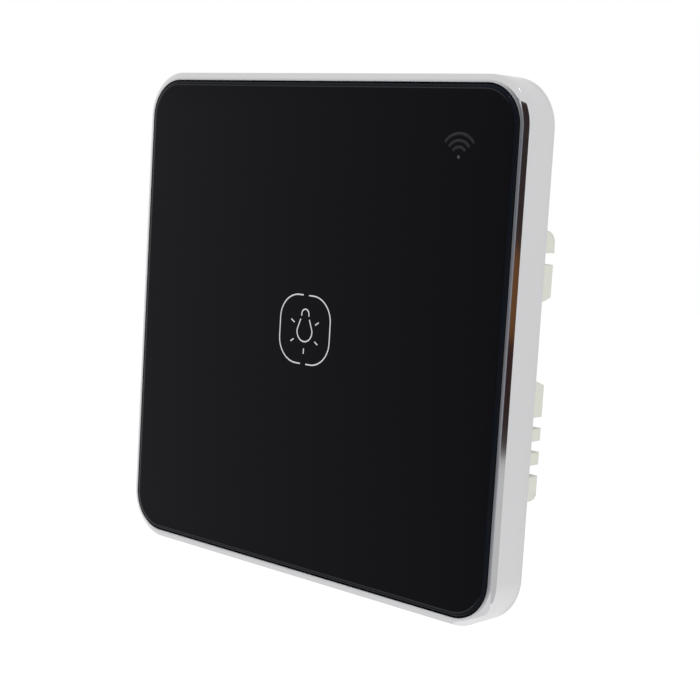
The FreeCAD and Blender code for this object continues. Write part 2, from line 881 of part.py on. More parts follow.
def make_base_plate():
    body = new_body("base_plate")
    pad(body, "Flange", 0.0, size.base_thickness, rounded(base_width, base_width, base_corner))
    collar = rounded(2 * housing_side, 2 * housing_top, size.housing_corner)
    pad(body, "Collar", -size.collar_depth, size.collar_depth, collar)
    cut(body, "Tray", base_front, base_front - tray_front, rectangle(tray_width, tray_height))
    relief_low, relief_high = -size.lug_relief_height / 2, size.lug_relief_height / 2
    reliefs = [
        span(lug_waist, housing_side, relief_low, relief_high),
        span(-housing_side, -lug_waist, relief_low, relief_high),
    ]
    cut(body, "LugReliefs", 0.0, size.collar_depth, *reliefs)
    mount_x = size.mount_spacing / 2
    mounts = [slot(size.slot_length, size.slot_radius, x, 0.0) for x in (-mount_x, mount_x)]
    cut(body, "MountSlots", base_front, size.base_thickness, *mounts)
    socket_length = size.pin_pitch * size.pin_count + 2 * size.socket_gap
    socket_window = rectangle(socket_length, size.strip_width + 2 * size.socket_gap, 0.0, size.plug_z)
    cut(body, "SocketWindow", tray_front, size.tray_floor, socket_window)
    windows, pockets = [], []
    half = size.arm_width / 2
    for x, _, z in arm_places():
        outward = 1 if value(z) > 0 else -1
        side = size.hook_width / 2 + size.screw_clearance * 3
        inner = z - outward * (half + size.arm_room)
        lip = z + outward * (half + size.hook_gap * 2)
        back = z + outward * (half + size.hook_catch + size.hook_gap * 3)
        window = (inner, lip) if outward > 0 else (lip, inner)
        pocket = (inner, back) if outward > 0 else (back, inner)
        windows.append(span(x - side, x + side, *window))
        pockets.append(span(x - side, x + side, *pocket))
    cut(body, "HookWindows", base_front, size.base_thickness, *windows)
    pocket_height = size.hook_gap * 2 + size.hook_height
    cut(body, "HookPockets", pocket_height, pocket_height, *pockets)
    standoffs = squares(size.standoff_width, board_corners())
    pad(body, "Standoffs", power_front, size.standoff_height, *standoffs)
    pilots = circles(size.power_screw_radius + size.thread_clearance, power_screw_places())
    pilot_depth = size.power_screw_bite + size.screw_clearance
    cut(body, "PowerBoardPilots", power_front + pilot_depth, pilot_depth, *pilots)
    column_pilots = circles(size.column_screw_radius + size.thread_clearance, column_places())
    column_depth = size.column_screw_bite + size.screw_clearance
    cut(body, "HousingPilots", column_depth - size.collar_depth, column_depth, *column_pilots)
    return body


def column_places():
    """Two opposite corners of the housing."""
    return [(column_x, 0.0, column_high), (-column_x, 0.0, column_low)]


def box_outline(inset):
    """The deep part of the housing in the wall plane, with the reliefs for the wall box's screw lugs."""
    right = housing_side - inset
    waist = lug_waist - inset
    relief = size.lug_relief_height / 2 + inset
    high = box_top - inset
    low = housing_base + inset
    half = [(right, low), (right, -relief), (waist, -relief), (waist, relief), (right, relief), (right, high)]
    other_half = [(-x, z) for x, z in reversed(half)]
    return polygon(*half, *other_half)


def shelf_outline(inset):
    """The shallower part of the housing in the wall plane, over the terminals."""
    right = shelf_side - inset
    return span(-right, right, 0.0, housing_top - inset)


def make_housing():
    body = new_body("rear_housing")
    rear = -size.housing_depth
    box_length = size.housing_depth - size.collar_depth
    pad(body, "Box", rear, box_length, box_outline(0.0))
    pad(body, "Shelf", -shelf_depth, shelf_depth - size.collar_depth, shelf_outline(0.0))

    def on_long_corner(box):
        flat = near(box.XMin, box.XMax) and near(box.ZMin, box.ZMax)
        at_box_end = near(box.ZMin, housing_base) or near(box.ZMin, box_top)
        box_corner = near(abs(box.XMin), housing_side) and at_box_end
        shelf_corner = near(abs(box.XMin), shelf_side) and near(box.ZMin, housing_top)
        return flat and (box_corner or shelf_corner)

    dress(body, "Fillet", "Corners", size.housing_corner, on_long_corner)
    dress(body, "Chamfer", "RearEdge", size.housing_edge, at_height(rear))
    box_inside = size.housing_depth - size.housing_wall - size.collar_depth
    shelf_inside = shelf_inner - size.collar_depth
    cut(body, "BoxHollow", -size.collar_depth, box_inside, box_outline(size.housing_wall))
    cut(body, "ShelfHollow", -size.collar_depth, shelf_inside, shelf_outline(size.housing_wall))
    columns = circles(size.column_radius, column_places())
    pad(body, "Columns", rear + size.housing_wall, box_inside, *columns)
    bores = circles(size.column_screw_radius + size.screw_clearance, column_places())
    cut(body, "ColumnBores", -size.collar_depth, box_length, *bores)
    heads = circles(size.column_head_radius + size.screw_clearance, column_places())
    cut(body, "HeadRecesses", column_head, size.column_head_height, *heads)
    neck_y = size.housing_depth - size.relief_flare_depth
    neck = size.lug_relief_height / 2
    mouth = neck + size.relief_flare
    end = size.housing_depth
    flare = polygon((neck_y, -neck), (end, -mouth), (end, mouth), (neck_y, neck))
    for name, start in (("RightFlare", housing_side), ("LeftFlare", -lug_waist)):
        cut(body, name, start, size.lug_relief_depth, flare, plane="YZ_Plane")
    side = housing_side - size.vent_reach / 2
    vent_front = size.vent_length - size.housing_depth

    def vent(z):
        return [rectangle(size.vent_reach, size.vent_width, x, z) for x in (-side, side)]

    cut(body, "HighVent", vent_front, size.vent_length, *vent(size.vent_first))
    low_vent = cut(body, "LowVent", vent_front, size.vent_length, *vent(-size.vent_first))
    row_of(body, "LowVents", [low_vent], "Z_Axis", size.vent_pitch, size.vent_count, backwards=True)
    wire_middle = (wire_front + bar_front) / 2
    entries = [rectangle(size.entry_size, size.entry_size, x, wire_middle) for x in poles]
    cut(body, "WireEntries", housing_top, size.housing_wall, *entries, plane="XY_Plane")

    def on_entry_mouth(box):
        level = near(box.ZMin, housing_top) and near(box.ZMax, housing_top)
        beside = abs((box.YMin + box.YMax) / 2 - value(wire_middle)) < value(size.entry_size)
        short = max(box.XLength, box.YLength) < value(size.terminal_pitch)
        return level and beside and short

    dress(body, "Chamfer", "EntryLeads", size.entry_lead, on_entry_mouth)
    drivers = [circle(size.driver_radius, x, screw_z) for x in poles]
    cut(body, "DriverHoles", -shelf_inner, size.housing_wall, *drivers)
    return body


def make_column_screws():
    master = new_body("housing_screw_master")
    seat = size.housing_depth - size.column_head_height
    tip = size.collar_depth - size.column_screw_bite
    shank = size.column_screw_radius
    head = size.column_head_radius
    end = size.housing_depth
    profile = polygon((0.0, end), (head, end), (head, seat), (shank, seat), (shank, tip), (0.0, tip))
    turn(master, "Screw", profile)
    return copies("housing_screws", master, column_places())


def make_power_board():
    body = new_body("power_board")
    outline = rectangle(size.board_width, size.board_height)
    pad(body, "Board", power_rear, size.power_board_thickness, outline)
    contact_z = (leg_low + leg_high) / 2
    width = size.contact_pin_width + 2 * size.pin_clearance
    height = size.bar_thickness + 2 * size.pin_clearance
    holes = circles(size.power_screw_radius + size.screw_clearance, power_screw_places())
    holes += [rectangle(width, height, x, contact_z) for x in poles]
    cut(body, "Holes", power_front, size.power_board_thickness, *holes)
    return body


def power_screw_places():
    """The board's two lower corners; its upper edge lies under the terminals."""
    return board_corners()[2:]


def make_power_screws():
    master = new_body("power_screw_master")
    seat = -power_rear
    tip = size.collar_depth + size.standoff_height - size.power_screw_bite
    shank = size.power_screw_radius
    head = size.power_head_radius
    end = seat + size.power_head_height
    profile = polygon((0.0, end), (head, end), (head, seat), (shank, seat), (shank, tip), (0.0, tip))
    turn(master, "Screw", profile)
    return copies("power_board_screws", master, power_screw_places())


def make_socket():
    body = new_body("socket_header")
    front = -(size.strip_height + size.socket_gap)
    length = size.pin_pitch * size.pin_count
    outline = rectangle(length, size.strip_width, 0.0, size.plug_z)
    pad(body, "Socket", power_front, front - power_front, outline)
    hole = size.pin_width + 2 * size.pin_clearance
    holes = [rectangle(hole, hole, x, size.plug_z) for x in pin_places()]
    cut(body, "PinHoles", front, front - power_front - size.pin_clearance, *holes)
    return body


def board_case(label, width, length, height, x, z):
    """A moulded case that stands on the rear of the power board, with its free edges broken."""
    body = new_body(label)
    rear = power_rear - height
    pad(body, "Case", rear, height, rectangle(width, length, x, z))
    dress(body, "Chamfer", "Softened", size.moulded_edge, lambda box: near(box.YMax, -rear))
    return body


def make_relay():
    x, z = relay_x, size.relay_z
    body = board_case("relay", size.relay_width, size.relay_length, relay_height, x, z)
    band = size.relay_width + 2 * size.relay_skirt_reach
    length = size.relay_length + 2 * size.relay_skirt_reach
    pad(body, "Skirt", power_rear - size.relay_skirt, size.relay_skirt, rectangle(band, length, x, z))
    return body


def make_film():
    width, length, height = size.film_width, size.film_length, size.film_height
    return board_case("film_capacitor", width, length, height, film_x, size.film_z)


def make_transformer():
    body = new_body("transformer")
    x, z = transformer_x, size.transformer_z
    width, length, height = size.transformer_width, size.transformer_length, size.transformer_height
    rear = power_rear - height
    thick = size.bobbin_flange
    bobbin = length - 2 * size.core_limb
    pad(body, "LowFlange", power_rear - thick, thick, rectangle(width, bobbin, x, z))
    pad(body, "HighFlange", rear, thick, rectangle(width, bobbin, x, z))
    wound_width = width - 2 * size.winding_step
    wound_length = bobbin - size.winding_step
    winding = rounded(wound_width, wound_length, 2 * size.winding_step, x, z)
    pad(body, "Winding", rear + thick, height - 2 * thick, winding)
    for name, side in (("LowLimb", -1), ("HighLimb", 1)):
        limb_z = z + side * (length - size.core_limb) / 2
        pad(body, name, rear, height, rectangle(size.core_width, size.core_limb, x, limb_z))
    return body


def make_electrolytic():
    body = new_body("electrolytic_capacitor")
    radius = size.electrolytic_radius
    low, high = -power_rear, -power_rear + size.electrolytic_height
    groove = size.can_groove
    neck = low + size.can_groove_height
    profile = polygon(
        (0.0, low), (radius, low), (radius, neck), (radius - groove, neck + groove),
        (radius, neck + 2 * groove), (radius, high), (0.0, high),
    )
    turn(body, "Can", profile)
    place(body, electrolytic_x, 0.0, size.electrolytic_z)
    cut(body, "VentMark", groove - high, groove, rectangle(radius, groove))
    return body


def make_fuse():
    body = new_body("fuse")
    radius = size.fuse_radius
    low, high = -power_rear, -power_rear + size.fuse_height
    turn(body, "Cap", polygon((0.0, low), (radius, low), (radius, high), (0.0, high)))
    place(body, fuse_x, 0.0, size.fuse_z)
    return body


def make_varistor():
    """A coated disc that stands on its two leads, face towards the side."""
    body = new_body("varistor")
    radius = size.varistor_radius
    lead = size.pin_width
    centre = -power_rear + radius + size.standoff_height
    left = size.varistor_x - size.varistor_thickness / 2
    disc = circle(radius, centre, size.varistor_z)
    pad(body, "Disc", left, size.varistor_thickness, disc, plane="YZ_Plane")
    legs = [rectangle(lead, lead, size.varistor_x, size.varistor_z + side * radius / 2) for side in (-1, 1)]
    pad(body, "Leads", power_rear - radius, radius, *legs)
    return body


def make_rectifier():
    body = new_body("rectifier")
    x, z = rectifier_x, rectifier_z
    width, length, height = size.rectifier_width, size.rectifier_length, size.rectifier_height
    seat = size.lead_width
    rear = power_rear - height
    pad(body, "Package", rear, height - seat, rectangle(width, length, x, z))
    dress(body, "Chamfer", "Draft", seat, at_height(rear))
    side = width / 2 - size.lead_width
    end = size.rectifier_lead_spacing / 2
    places = [(x + side, z + end), (x - side, z + end), (x - side, z - end), (x + side, z - end)]
    legs = [rectangle(size.lead_width, size.lead_reach, leg_x, leg_z) for leg_x, leg_z in places]
    pad(body, "Leads", power_rear - seat, seat, *legs)
    return body


def make_regulator():
    body = new_body("regulator")
    x, z = size.regulator_x, regulator_z
    width, length, height = size.regulator_width, size.regulator_length, size.regulator_height
    foot = size.lead_width / 2
    rear = power_rear - height
    pad(body, "Package", rear, height, rectangle(width, length, x, z))
    dress(body, "Chamfer", "Draft", foot, at_height(rear))
    foot_z = (length + size.lead_reach) / 2
    feet_x = [x + size.regulator_tab_pitch * step for step in (-1, 0, 1)]
    feet = [rectangle(size.lead_reach, size.lead_reach, foot_x, z - foot_z) for foot_x in feet_x]
    feet.append(rectangle(width / 2, size.lead_reach, x, z + foot_z))
    pad(body, "Tabs", power_rear - foot, foot, *feet)
    return body


# The terminals


def make_block():
    body = new_body("terminal_block")
    width = size.terminal_pitch * len(poles) + size.terminal_wall
    depth = head_rear - block_front
    pad(body, "Block", -head_rear, depth, span(-width / 2, width / 2, block_low, block_top))
    cell = size.terminal_pitch - size.terminal_wall
    floor = block_front + size.terminal_floor
    cells = [span(x - cell / 2, x + cell / 2, cavity_low, block_top + size.terminal_gap) for x in poles]
    cut(body, "Cells", -floor, head_rear - floor, *cells)
    pin = size.contact_pin_width / 2 + size.cage_gap
    slots = [span(x - pin, x + pin, leg_low - size.cage_gap, leg_high + size.cage_gap) for x in poles]
    cut(body, "PinSlots", -block_front, size.terminal_floor, *slots)
    return body


def make_contacts():
    """L-shaped strips: a bar that passes through each cage, a leg, and a pin through the board."""
    body = new_body("terminal_contacts")
    half = size.bar_width / 2
    leg_end = block_front + size.terminal_floor
    bars = [span(x - half, x + half, leg_low, cage_high) for x in poles]
    pad(body, "Bars", -bar_rear, size.bar_thickness, *bars)
    legs = [span(x - half, x + half, leg_low, leg_high) for x in poles]
    pad(body, "Legs", -bar_rear, bar_rear - leg_end, *legs)
    pin = size.contact_pin_width / 2
    pin_end = power_front + size.solder_length
    pins = [span(x - pin, x + pin, leg_low, leg_high) for x in poles]
    pad(body, "Pins", -leg_end, leg_end + pin_end, *pins)
    return body


def make_cage(number, x):
    body = new_body(f"terminal_cage_{number}")
    width = size.cage_width
    middle = (cage_front + nut_rear) / 2
    depth = nut_rear - cage_front
    outline = rectangle(width, depth, 0.0, middle)
    pad(body, "Cage", cage_low, size.cage_length, outline, plane="XY_Plane")

    def on_long_corner(box):
        return near(box.ZLength, size.cage_length)

    dress(body, "Chamfer", "FoldedCorners", size.cage_jaw / 2, on_long_corner)
    inner = width - 2 * size.cage_side
    hollow = span(-inner / 2, inner / 2, wire_front, nut_front)
    cut(body, "Clamp", cage_high, size.cage_length, hollow, plane="XY_Plane")
    thread = circle(size.terminal_screw_radius + size.thread_clearance, 0.0, screw_z)
    cut(body, "Thread", -nut_front + size.cage_gap, size.cage_nut + 2 * size.cage_gap, thread)
    place(body, x)
    return body


def make_terminal_screw(number, x):
    body = new_body(f"terminal_screw_{number}")
    radius = size.terminal_screw_radius
    head = size.terminal_head_radius
    tip = bar_rear + size.cage_gap
    profile = polygon(
        (0.0, tip), (radius, tip), (radius, head_front), (head, head_front), (head, head_rear),
        (0.0, head_rear),
    )
    turn(body, "Screw", profile)
    slot_cut = rectangle(size.recess_width, size.recess_length)
    cut(body, "DriverSlot", size.recess_depth - head_rear, size.recess_depth, slot_cut)
    place(body, x, 0.0, screw_z)
    return body


node(make_frame())
node(make_glass())
node(make_tape())
node(make_carrier())
node(make_carrier_screws())
node(make_snap_arms())
node(make_touch_board())
node(make_board_screws())
node(make_spring())
node(make_light_guide())
node(make_leds())
node(make_module())
node(make_shield())
node(make_chip())
node(make_pin_strip())
node(make_header_pins())
node(make_base_plate())
node(make_housing())
node(make_column_screws())
node(make_power_board())
node(make_power_screws())
node(make_socket())
node(make_relay())
node(make_transformer())
node(make_electrolytic())
node(make_film())
node(make_fuse())
node(make_varistor())
node(make_rectifier())
node(make_regulator())
node(make_block())
node(make_contacts())
for number, x in enumerate(poles, start=1):
    node(make_cage(number, x))
    node(make_terminal_screw(number, x))

doc.recompute()
faults = [
    f"{thing.Name} is {thing.State}"
    for thing in doc.Objects
    if "Invalid" in thing.State or "Error" in thing.State
]
for thing in nodes:
    if thing.Shape.isNull() or not thing.Shape.isValid():
        faults.append(f"{thing.Label} is not a valid shape")
    elif not thing.Shape.Solids:
        faults.append(f"{thing.Label} holds no solid")
if faults:
    raise SystemExit("\n".join(faults))

os.makedirs("parts", exist_ok=True)
for thing in nodes:
    thing.Shape.exportStep(f"parts/{thing.Label}.step")
    box = thing.Shape.BoundBox
    extent = f"{box.XLength:7.2f} {box.YLength:7.2f} {box.ZLength:7.2f}"
    print(f"{thing.Label:26s} {len(thing.Shape.Solids):2d} solids {extent}")
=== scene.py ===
import json
import math
from collections import Counter

import bpy
from mathutils import Matrix, Vector

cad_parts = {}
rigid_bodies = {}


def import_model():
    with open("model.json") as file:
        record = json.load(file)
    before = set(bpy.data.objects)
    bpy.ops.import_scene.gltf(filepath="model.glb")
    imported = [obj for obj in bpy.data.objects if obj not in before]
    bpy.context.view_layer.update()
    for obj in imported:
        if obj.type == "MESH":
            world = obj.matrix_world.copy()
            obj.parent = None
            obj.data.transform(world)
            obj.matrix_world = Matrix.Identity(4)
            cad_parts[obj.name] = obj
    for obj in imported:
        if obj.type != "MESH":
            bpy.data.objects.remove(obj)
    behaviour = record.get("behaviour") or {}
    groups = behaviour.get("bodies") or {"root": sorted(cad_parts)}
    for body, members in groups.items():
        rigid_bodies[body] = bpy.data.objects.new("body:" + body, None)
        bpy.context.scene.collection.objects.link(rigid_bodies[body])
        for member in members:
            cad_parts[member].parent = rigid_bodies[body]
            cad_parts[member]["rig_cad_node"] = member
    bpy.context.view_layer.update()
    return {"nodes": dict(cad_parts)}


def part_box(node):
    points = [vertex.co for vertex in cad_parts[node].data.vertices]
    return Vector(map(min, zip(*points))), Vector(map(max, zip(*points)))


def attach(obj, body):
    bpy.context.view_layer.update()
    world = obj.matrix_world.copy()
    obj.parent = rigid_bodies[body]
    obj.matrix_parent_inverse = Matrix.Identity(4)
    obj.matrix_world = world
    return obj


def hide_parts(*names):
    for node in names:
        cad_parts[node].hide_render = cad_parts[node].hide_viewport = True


bl_info = {
    "name": "Touch Switch",
    "version": (1, 0, 0),
    "blender": (4, 5, 0),
    "location": "View3D > Sidebar > Touch Switch",
    "description": "Dresses a square glass touch switch and sets up its studio",
    "category": "Object",
}

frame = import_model()
nodes = frame["nodes"]

MM = 0.001
plate_low, plate_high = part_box("aluminium_frame")
glass_low, glass_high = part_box("glass_panel")
carrier_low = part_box("panel_carrier")[0]


# Sizes and colours that a user would change


def length(label, description, default):
    return bpy.props.FloatProperty(
        name=label, description=description, default=default, min=0.0, unit="LENGTH"
    )


def colour(label, description, default):
    limits = {"size": 3, "min": 0.0, "max": 1.0, "subtype": "COLOR"}
    return bpy.props.FloatVectorProperty(
        name=label, description=description, default=default, **limits
    )


class SwitchSizes(bpy.types.PropertyGroup):
    plate_corner: length("Plate corner", "Outer corner radius of the metal frame", 8.0 * MM)
    bevel_width: length("Bevel width", "Polished bevel, measured across the front", 0.85 * MM)
    bevel_depth: length("Bevel depth", "Polished bevel, measured towards the wall", 0.65 * MM)
    land_width: length("Land width", "Flat rim between the bevel and the glass", 0.5 * MM)
    land_fall: length("Land fall", "How far that rim slopes down towards the bevel", 0.14 * MM)
    land_edge: length("Land edge", "Rounding between that rim and the bevel", 0.06 * MM)
    frame_edge: length("Frame edge", "Rounding of the frame's other edges", 0.05 * MM)
    ledge_width: length("Ledge width", "Ledge that the glass is taped to", 2.5 * MM)
    ledge_thickness: length("Ledge thickness", "Thickness of that ledge", 1.2 * MM)
    notch_width: length("Notch width", "Width of the pry notch under the frame", 12.0 * MM)
    notch_height: length("Notch height", "Height of the pry notch above the wall", 1.0 * MM)
    glass_corner: length("Glass corner", "Corner radius of the glass", 6.6 * MM)
    glass_edge: length("Glass edge", "Radius of the glass's polished front edge", 0.95 * MM)
    line_width: length("Line width", "Width of the touch symbol's lines", 0.225 * MM)
    line_height: length("Line height", "How far a symbol stands out of the glass", 0.02 * MM)
    ring_width: length("Ring width", "Width of the ring round the touch symbol", 11.65 * MM)
    ring_height: length("Ring height", "Height of the ring round the touch symbol", 11.7 * MM)
    ring_corner: length("Ring corner", "Corner radius of the ring", 4.2 * MM)
    ring_gap: length("Ring gap", "Opening in the ring at its top and bottom", 1.3 * MM)
    wave_width: length("Wave width", "Width of the wireless sign's lines", 0.45 * MM)
    dot_radius: length("Dot radius", "Radius of the wireless sign's dot", 0.28 * MM)
    spring_wire: length("Spring wire", "Thickness of the sensing spring's wire", 0.5 * MM)
    mould_edge: length("Moulded edge", "Rounding of the moulded pieces' edges", 0.15 * MM)
    label_width: length("Label width", "Width of the housing's bare label place", 34.0 * MM)
    label_height: length("Label height", "Height of that label place", 24.0 * MM)
    label_corner: length("Label corner", "Corner radius of that label place", 1.5 * MM)
    label_depth: length("Label depth", "How deep the label place is sunk", 0.3 * MM)
    label_foot: length("Label foot", "Its height above the housing's foot", 12.0 * MM)
    pin_mark: length("Pin mark", "Radius of the ejector pin marks", 1.4 * MM)
    pin_depth: length("Pin depth", "How deep the ejector pin marks are sunk", 0.12 * MM)


class SwitchColours(bpy.types.PropertyGroup):
    metal: colour("Metal", "Aluminium of the frame", (0.62, 0.62, 0.63))
    glass: colour("Glass", "Black print seen through the glass", (0.0035, 0.0035, 0.0045))
    symbol: colour("Symbol", "Lit touch symbol", (0.56, 0.56, 0.57))
    wireless: colour("Wireless sign", "Printed wireless sign", (0.011, 0.011, 0.0115))
    cream: colour("Cream plastic", "Base plate and rear housing", (0.74, 0.75, 0.67))
    board: colour("Solder mask", "Green of the circuit boards", (0.012, 0.12, 0.05))


# Modelling

# Places that are closer than this count as one
SAME_PLACE = 0.01 * MM
# Points that are closer than this are merged, in a copy of a CAD mesh and in a finished one
CAD_SEAM = 0.001 * MM
SEAM = 0.0005 * MM
# How much longer the way along an edge may be that passes by a point on it
ON_EDGE = 0.0001 * MM
# The least share of Y in the normal of a face that looks to the front or the rear
FACING = 0.99
# Faces that meet at a smaller angle than this, in degrees, become one
FLAT_BEND = 1.0
# Faces that meet at a larger angle than this, in degrees, have a sharp edge between them
SHARP_BEND = 40.0
# Sharp edges no longer than this stay sharp, and so do those this near to a spare place
SHORT_EDGE = 1.2 * MM
SPARE_RADIUS = 4.0 * MM
# Sharp edges make a corner where the cosine between them is smaller than this
CORNER_COSINE = 0.5
# The digits of a metre to which the places of the cuts through corners are rounded
CUT_DIGITS = 6
# The most sides of a hole that a weld fills
HOLE_SIDES = 12
# The steps in which the corners of the frame and glass are rounded
CORNER_STEPS = 24


def enter_edit_mode():
    """Goes into edit mode with all of the piece selected."""
    bpy.ops.object.mode_set(mode="EDIT")
    bpy.ops.mesh.select_all(action="SELECT")


def leave_edit_mode():
    bpy.ops.object.mode_set(mode="OBJECT")


def clear_selection():
    if bpy.context.object and bpy.context.object.mode != "OBJECT":
        leave_edit_mode()
    bpy.ops.object.select_all(action="DESELECT")


def activate(piece):
    clear_selection()
    piece.select_set(True)
    bpy.context.view_layer.objects.active = piece


def named(name):
    """The active object, under its new name."""
    thing = bpy.context.object
    thing.name = name
    return thing


def settle(piece):
    """Moves a piece's place and turn into its mesh."""
    activate(piece)
    bpy.ops.object.transform_apply(location=True, rotation=True, scale=True)
    return piece


def near(first, second):
    return abs(first - second) < SAME_PLACE


def along_y(first, second):
    """Whether an edge runs from the front to the rear."""
    return near(first.x, second.x) and near(first.z, second.z)


def level_at(place):
    """A test for the edges that lie at one place along Y."""
    return lambda first, second: near(first.y, place) and near(second.y, place)


def looks_front(middle, normal):
    return normal.y < -FACING


def looks_rear(middle, normal):
    return normal.y > FACING


def choose(piece, kind, test):
    """Goes into edit mode with the edges or faces selected that pass a test."""
    activate(piece)
    bpy.context.tool_settings.mesh_select_mode = (False, kind == "EDGE", kind == "FACE")
    mesh = piece.data
    for group in (mesh.vertices, mesh.edges, mesh.polygons):
        for item in group:
            item.select = False
    items = mesh.edges if kind == "EDGE" else mesh.polygons
    for item in items:
        item.select = test(item)
    bpy.ops.object.mode_set(mode="EDIT")


def choose_faces(piece, test):
    """Chooses faces by a test on their middle and normal."""
    choose(piece, "FACE", lambda face: test(face.center, face.normal))


def choose_edges(piece, test):
    """Chooses edges by a test on their two ends."""
    points = piece.data.vertices
    choose(piece, "EDGE", lambda edge: test(*[points[end].co for end in edge.vertices]))


def round_chosen(width, segments):
    """Rounds the chosen edges and leaves edit mode."""
    bpy.ops.mesh.bevel(offset=width, segments=segments, affect="EDGES")
    leave_edit_mode()


def push(distance):
    """Extrudes the chosen faces along Y."""
    bpy.ops.mesh.extrude_region_move(TRANSFORM_OT_translate={"value": (0.0, distance, 0.0)})


def step_in(width, height=0.0):
    """Draws the chosen faces in on all sides, and raises them."""
    bpy.ops.mesh.inset(thickness=width, depth=height, use_even_offset=True)


def cut_across(axis, place):
    """Cuts all the faces of a piece that cross a plane, and keeps both sides."""
    across = Vector()
    across[axis] = 1.0
    bpy.ops.mesh.select_all(action="SELECT")
    bpy.ops.mesh.bisect(plane_co=place * across, plane_no=across)


def add_box(name, low, high):
    clear_selection()
    low, high = Vector(low), Vector(high)
    bpy.ops.mesh.primitive_cube_add(size=1.0, location=(low + high) / 2, scale=high - low)
    return settle(named(name))


def add_plate(name, low, high, corner, segments):
    """A box with its four edges along Y rounded."""
    piece = add_box(name, low, high)
    choose_edges(piece, along_y)
    round_chosen(corner, segments)
    return piece


def add_rod(name, radius, start, end, sides=32):
    """A round bar along Y, from start to end."""
    clear_selection()
    bpy.ops.mesh.primitive_cylinder_add(
        vertices=sides,
        radius=radius,
        depth=abs(end[1] - start[1]),
        location=(Vector(start) + Vector(end)) / 2,
        rotation=(math.radians(90.0), 0.0, 0.0),
    )
    return settle(named(name))


def add_tubes(name, runs, thickness, resolution):
    """One mesh of round tubes, each along a run of points."""
    clear_selection()
    bpy.ops.curve.primitive_bezier_curve_add()
    curve = named(name).data
    curve.splines.clear()
    curve.dimensions = "3D"
    curve.bevel_depth = thickness / 2
    curve.bevel_resolution = resolution
    curve.use_fill_caps = True
    for run in runs:
        line = curve.splines.new("POLY")
        line.points.add(len(run) - 1)
        for point, place in zip(line.points, run):
            point.co = (*place, 1.0)
    bpy.ops.object.convert(target="MESH")
    return bpy.context.object


def modify(piece, kind, **settings):
    """Adds a modifier and applies it."""
    activate(piece)
    modifier = piece.modifiers.new(kind.title(), kind)
    for name, value in settings.items():
        setattr(modifier, name, value)
    bpy.ops.object.modifier_apply(modifier=modifier.name)


def cut_with(piece, cutter):
    """Takes a cutter's shape out of a piece, and the cutter away."""
    modify(piece, "BOOLEAN", operation="DIFFERENCE", object=cutter, solver="EXACT")
    bpy.data.objects.remove(cutter)


def join(name, parts):
    """Makes one piece of several."""
    activate(parts[0])
    for part in parts:
        part.select_set(True)
    bpy.ops.object.join()
    return named(name)


def copy_to(master, places):
    """Copies of a piece, each with its own mesh, moved to their places. The master goes."""
    copies = []
    for place in places:
        activate(master)
        bpy.ops.object.duplicate()
        bpy.ops.transform.translate(value=place)
        copies.append(settle(bpy.context.object))
    bpy.data.objects.remove(master)
    return copies


def weld(piece):
    """Closes the seams of a mesh and turns its faces outwards."""
    activate(piece)
    enter_edit_mode()
    bpy.ops.mesh.remove_doubles(threshold=SEAM)
    bpy.ops.mesh.fill_holes(sides=HOLE_SIDES)
    bpy.ops.mesh.normals_make_consistent(inside=False)
    leave_edit_mode()


def smooth(piece, angle=35.0):
    activate(piece)
    bpy.ops.object.shade_smooth_by_angle(angle=math.radians(angle))


def soften(piece):
    """Smooth shading that keeps the large flat faces flat."""
    smooth(piece, SHARP_BEND)
    modify(piece, "WEIGHTED_NORMAL", keep_sharp=True)


def sharp_edges(piece):
    """The sharp edges of a piece, as pairs of points."""
    sides = {}
    for face in piece.data.polygons:
        for key in face.edge_keys:
            sides.setdefault(key, []).append(face.normal)
    limit = math.radians(SHARP_BEND)
    return {
        key
        for key, normals in sides.items()
        if len(normals) == 2 and normals[0].angle(normals[1], 0.0) > limit
    }


def corner_planes(piece):
    """The planes across X, Y and Z through the sharp corners of a piece, as (axis, place)."""
    points = piece.data.vertices
    runs = {}
    for first, second in sharp_edges(piece):
        along = (points[second].co - points[first].co).normalized()
        runs.setdefault(first, []).append(along)
        runs.setdefault(second, []).append(along)
    planes = set()
    for point, edges in runs.items():
        if min(abs(edges[0].dot(edge)) for edge in edges) < CORNER_COSINE:
            for axis, place in enumerate(points[point].co):
                planes.add((axis, round(place, CUT_DIGITS)))
    return sorted(planes)


def long_sharp_edges(piece, spare):
    """The ends of the sharp edges that are long and not near a spare place (x, z)."""
    points = piece.data.vertices
    found = []
    for first, second in sharp_edges(piece):
        start, end = points[first].co.copy(), points[second].co.copy()
        middle = (start + end) / 2
        beside = any(math.hypot(middle.x - x, middle.z - z) < SPARE_RADIUS for x, z in spare)
        if (end - start).length > SHORT_EDGE and not beside:
            found.append((start, end))
    return found


def round_edges(piece, width, spare=()):
    """Rounds the long sharp edges but those near the spare places (x, z).

    Cuts through all the corners come first, because a rounding tears long thin faces.
    """
    activate(piece)
    enter_edit_mode()
    bpy.ops.mesh.dissolve_limited(angle_limit=math.radians(FLAT_BEND))
    leave_edit_mode()
    wanted = long_sharp_edges(piece, spare)
    planes = corner_planes(piece)
    enter_edit_mode()
    for axis, place in planes:
        cut_across(axis, place)
    leave_edit_mode()
    sharp = sharp_edges(piece)
    points = piece.data.vertices

    def is_wanted(edge):
        if edge.key not in sharp:
            return False
        middle = (points[edge.vertices[0]].co + points[edge.vertices[1]].co) / 2
        return any(
            (middle - start).length + (end - middle).length < (end - start).length + ON_EDGE
            for start, end in wanted
        )

    choose(piece, "EDGE", is_wanted)
    round_chosen(width, 2)


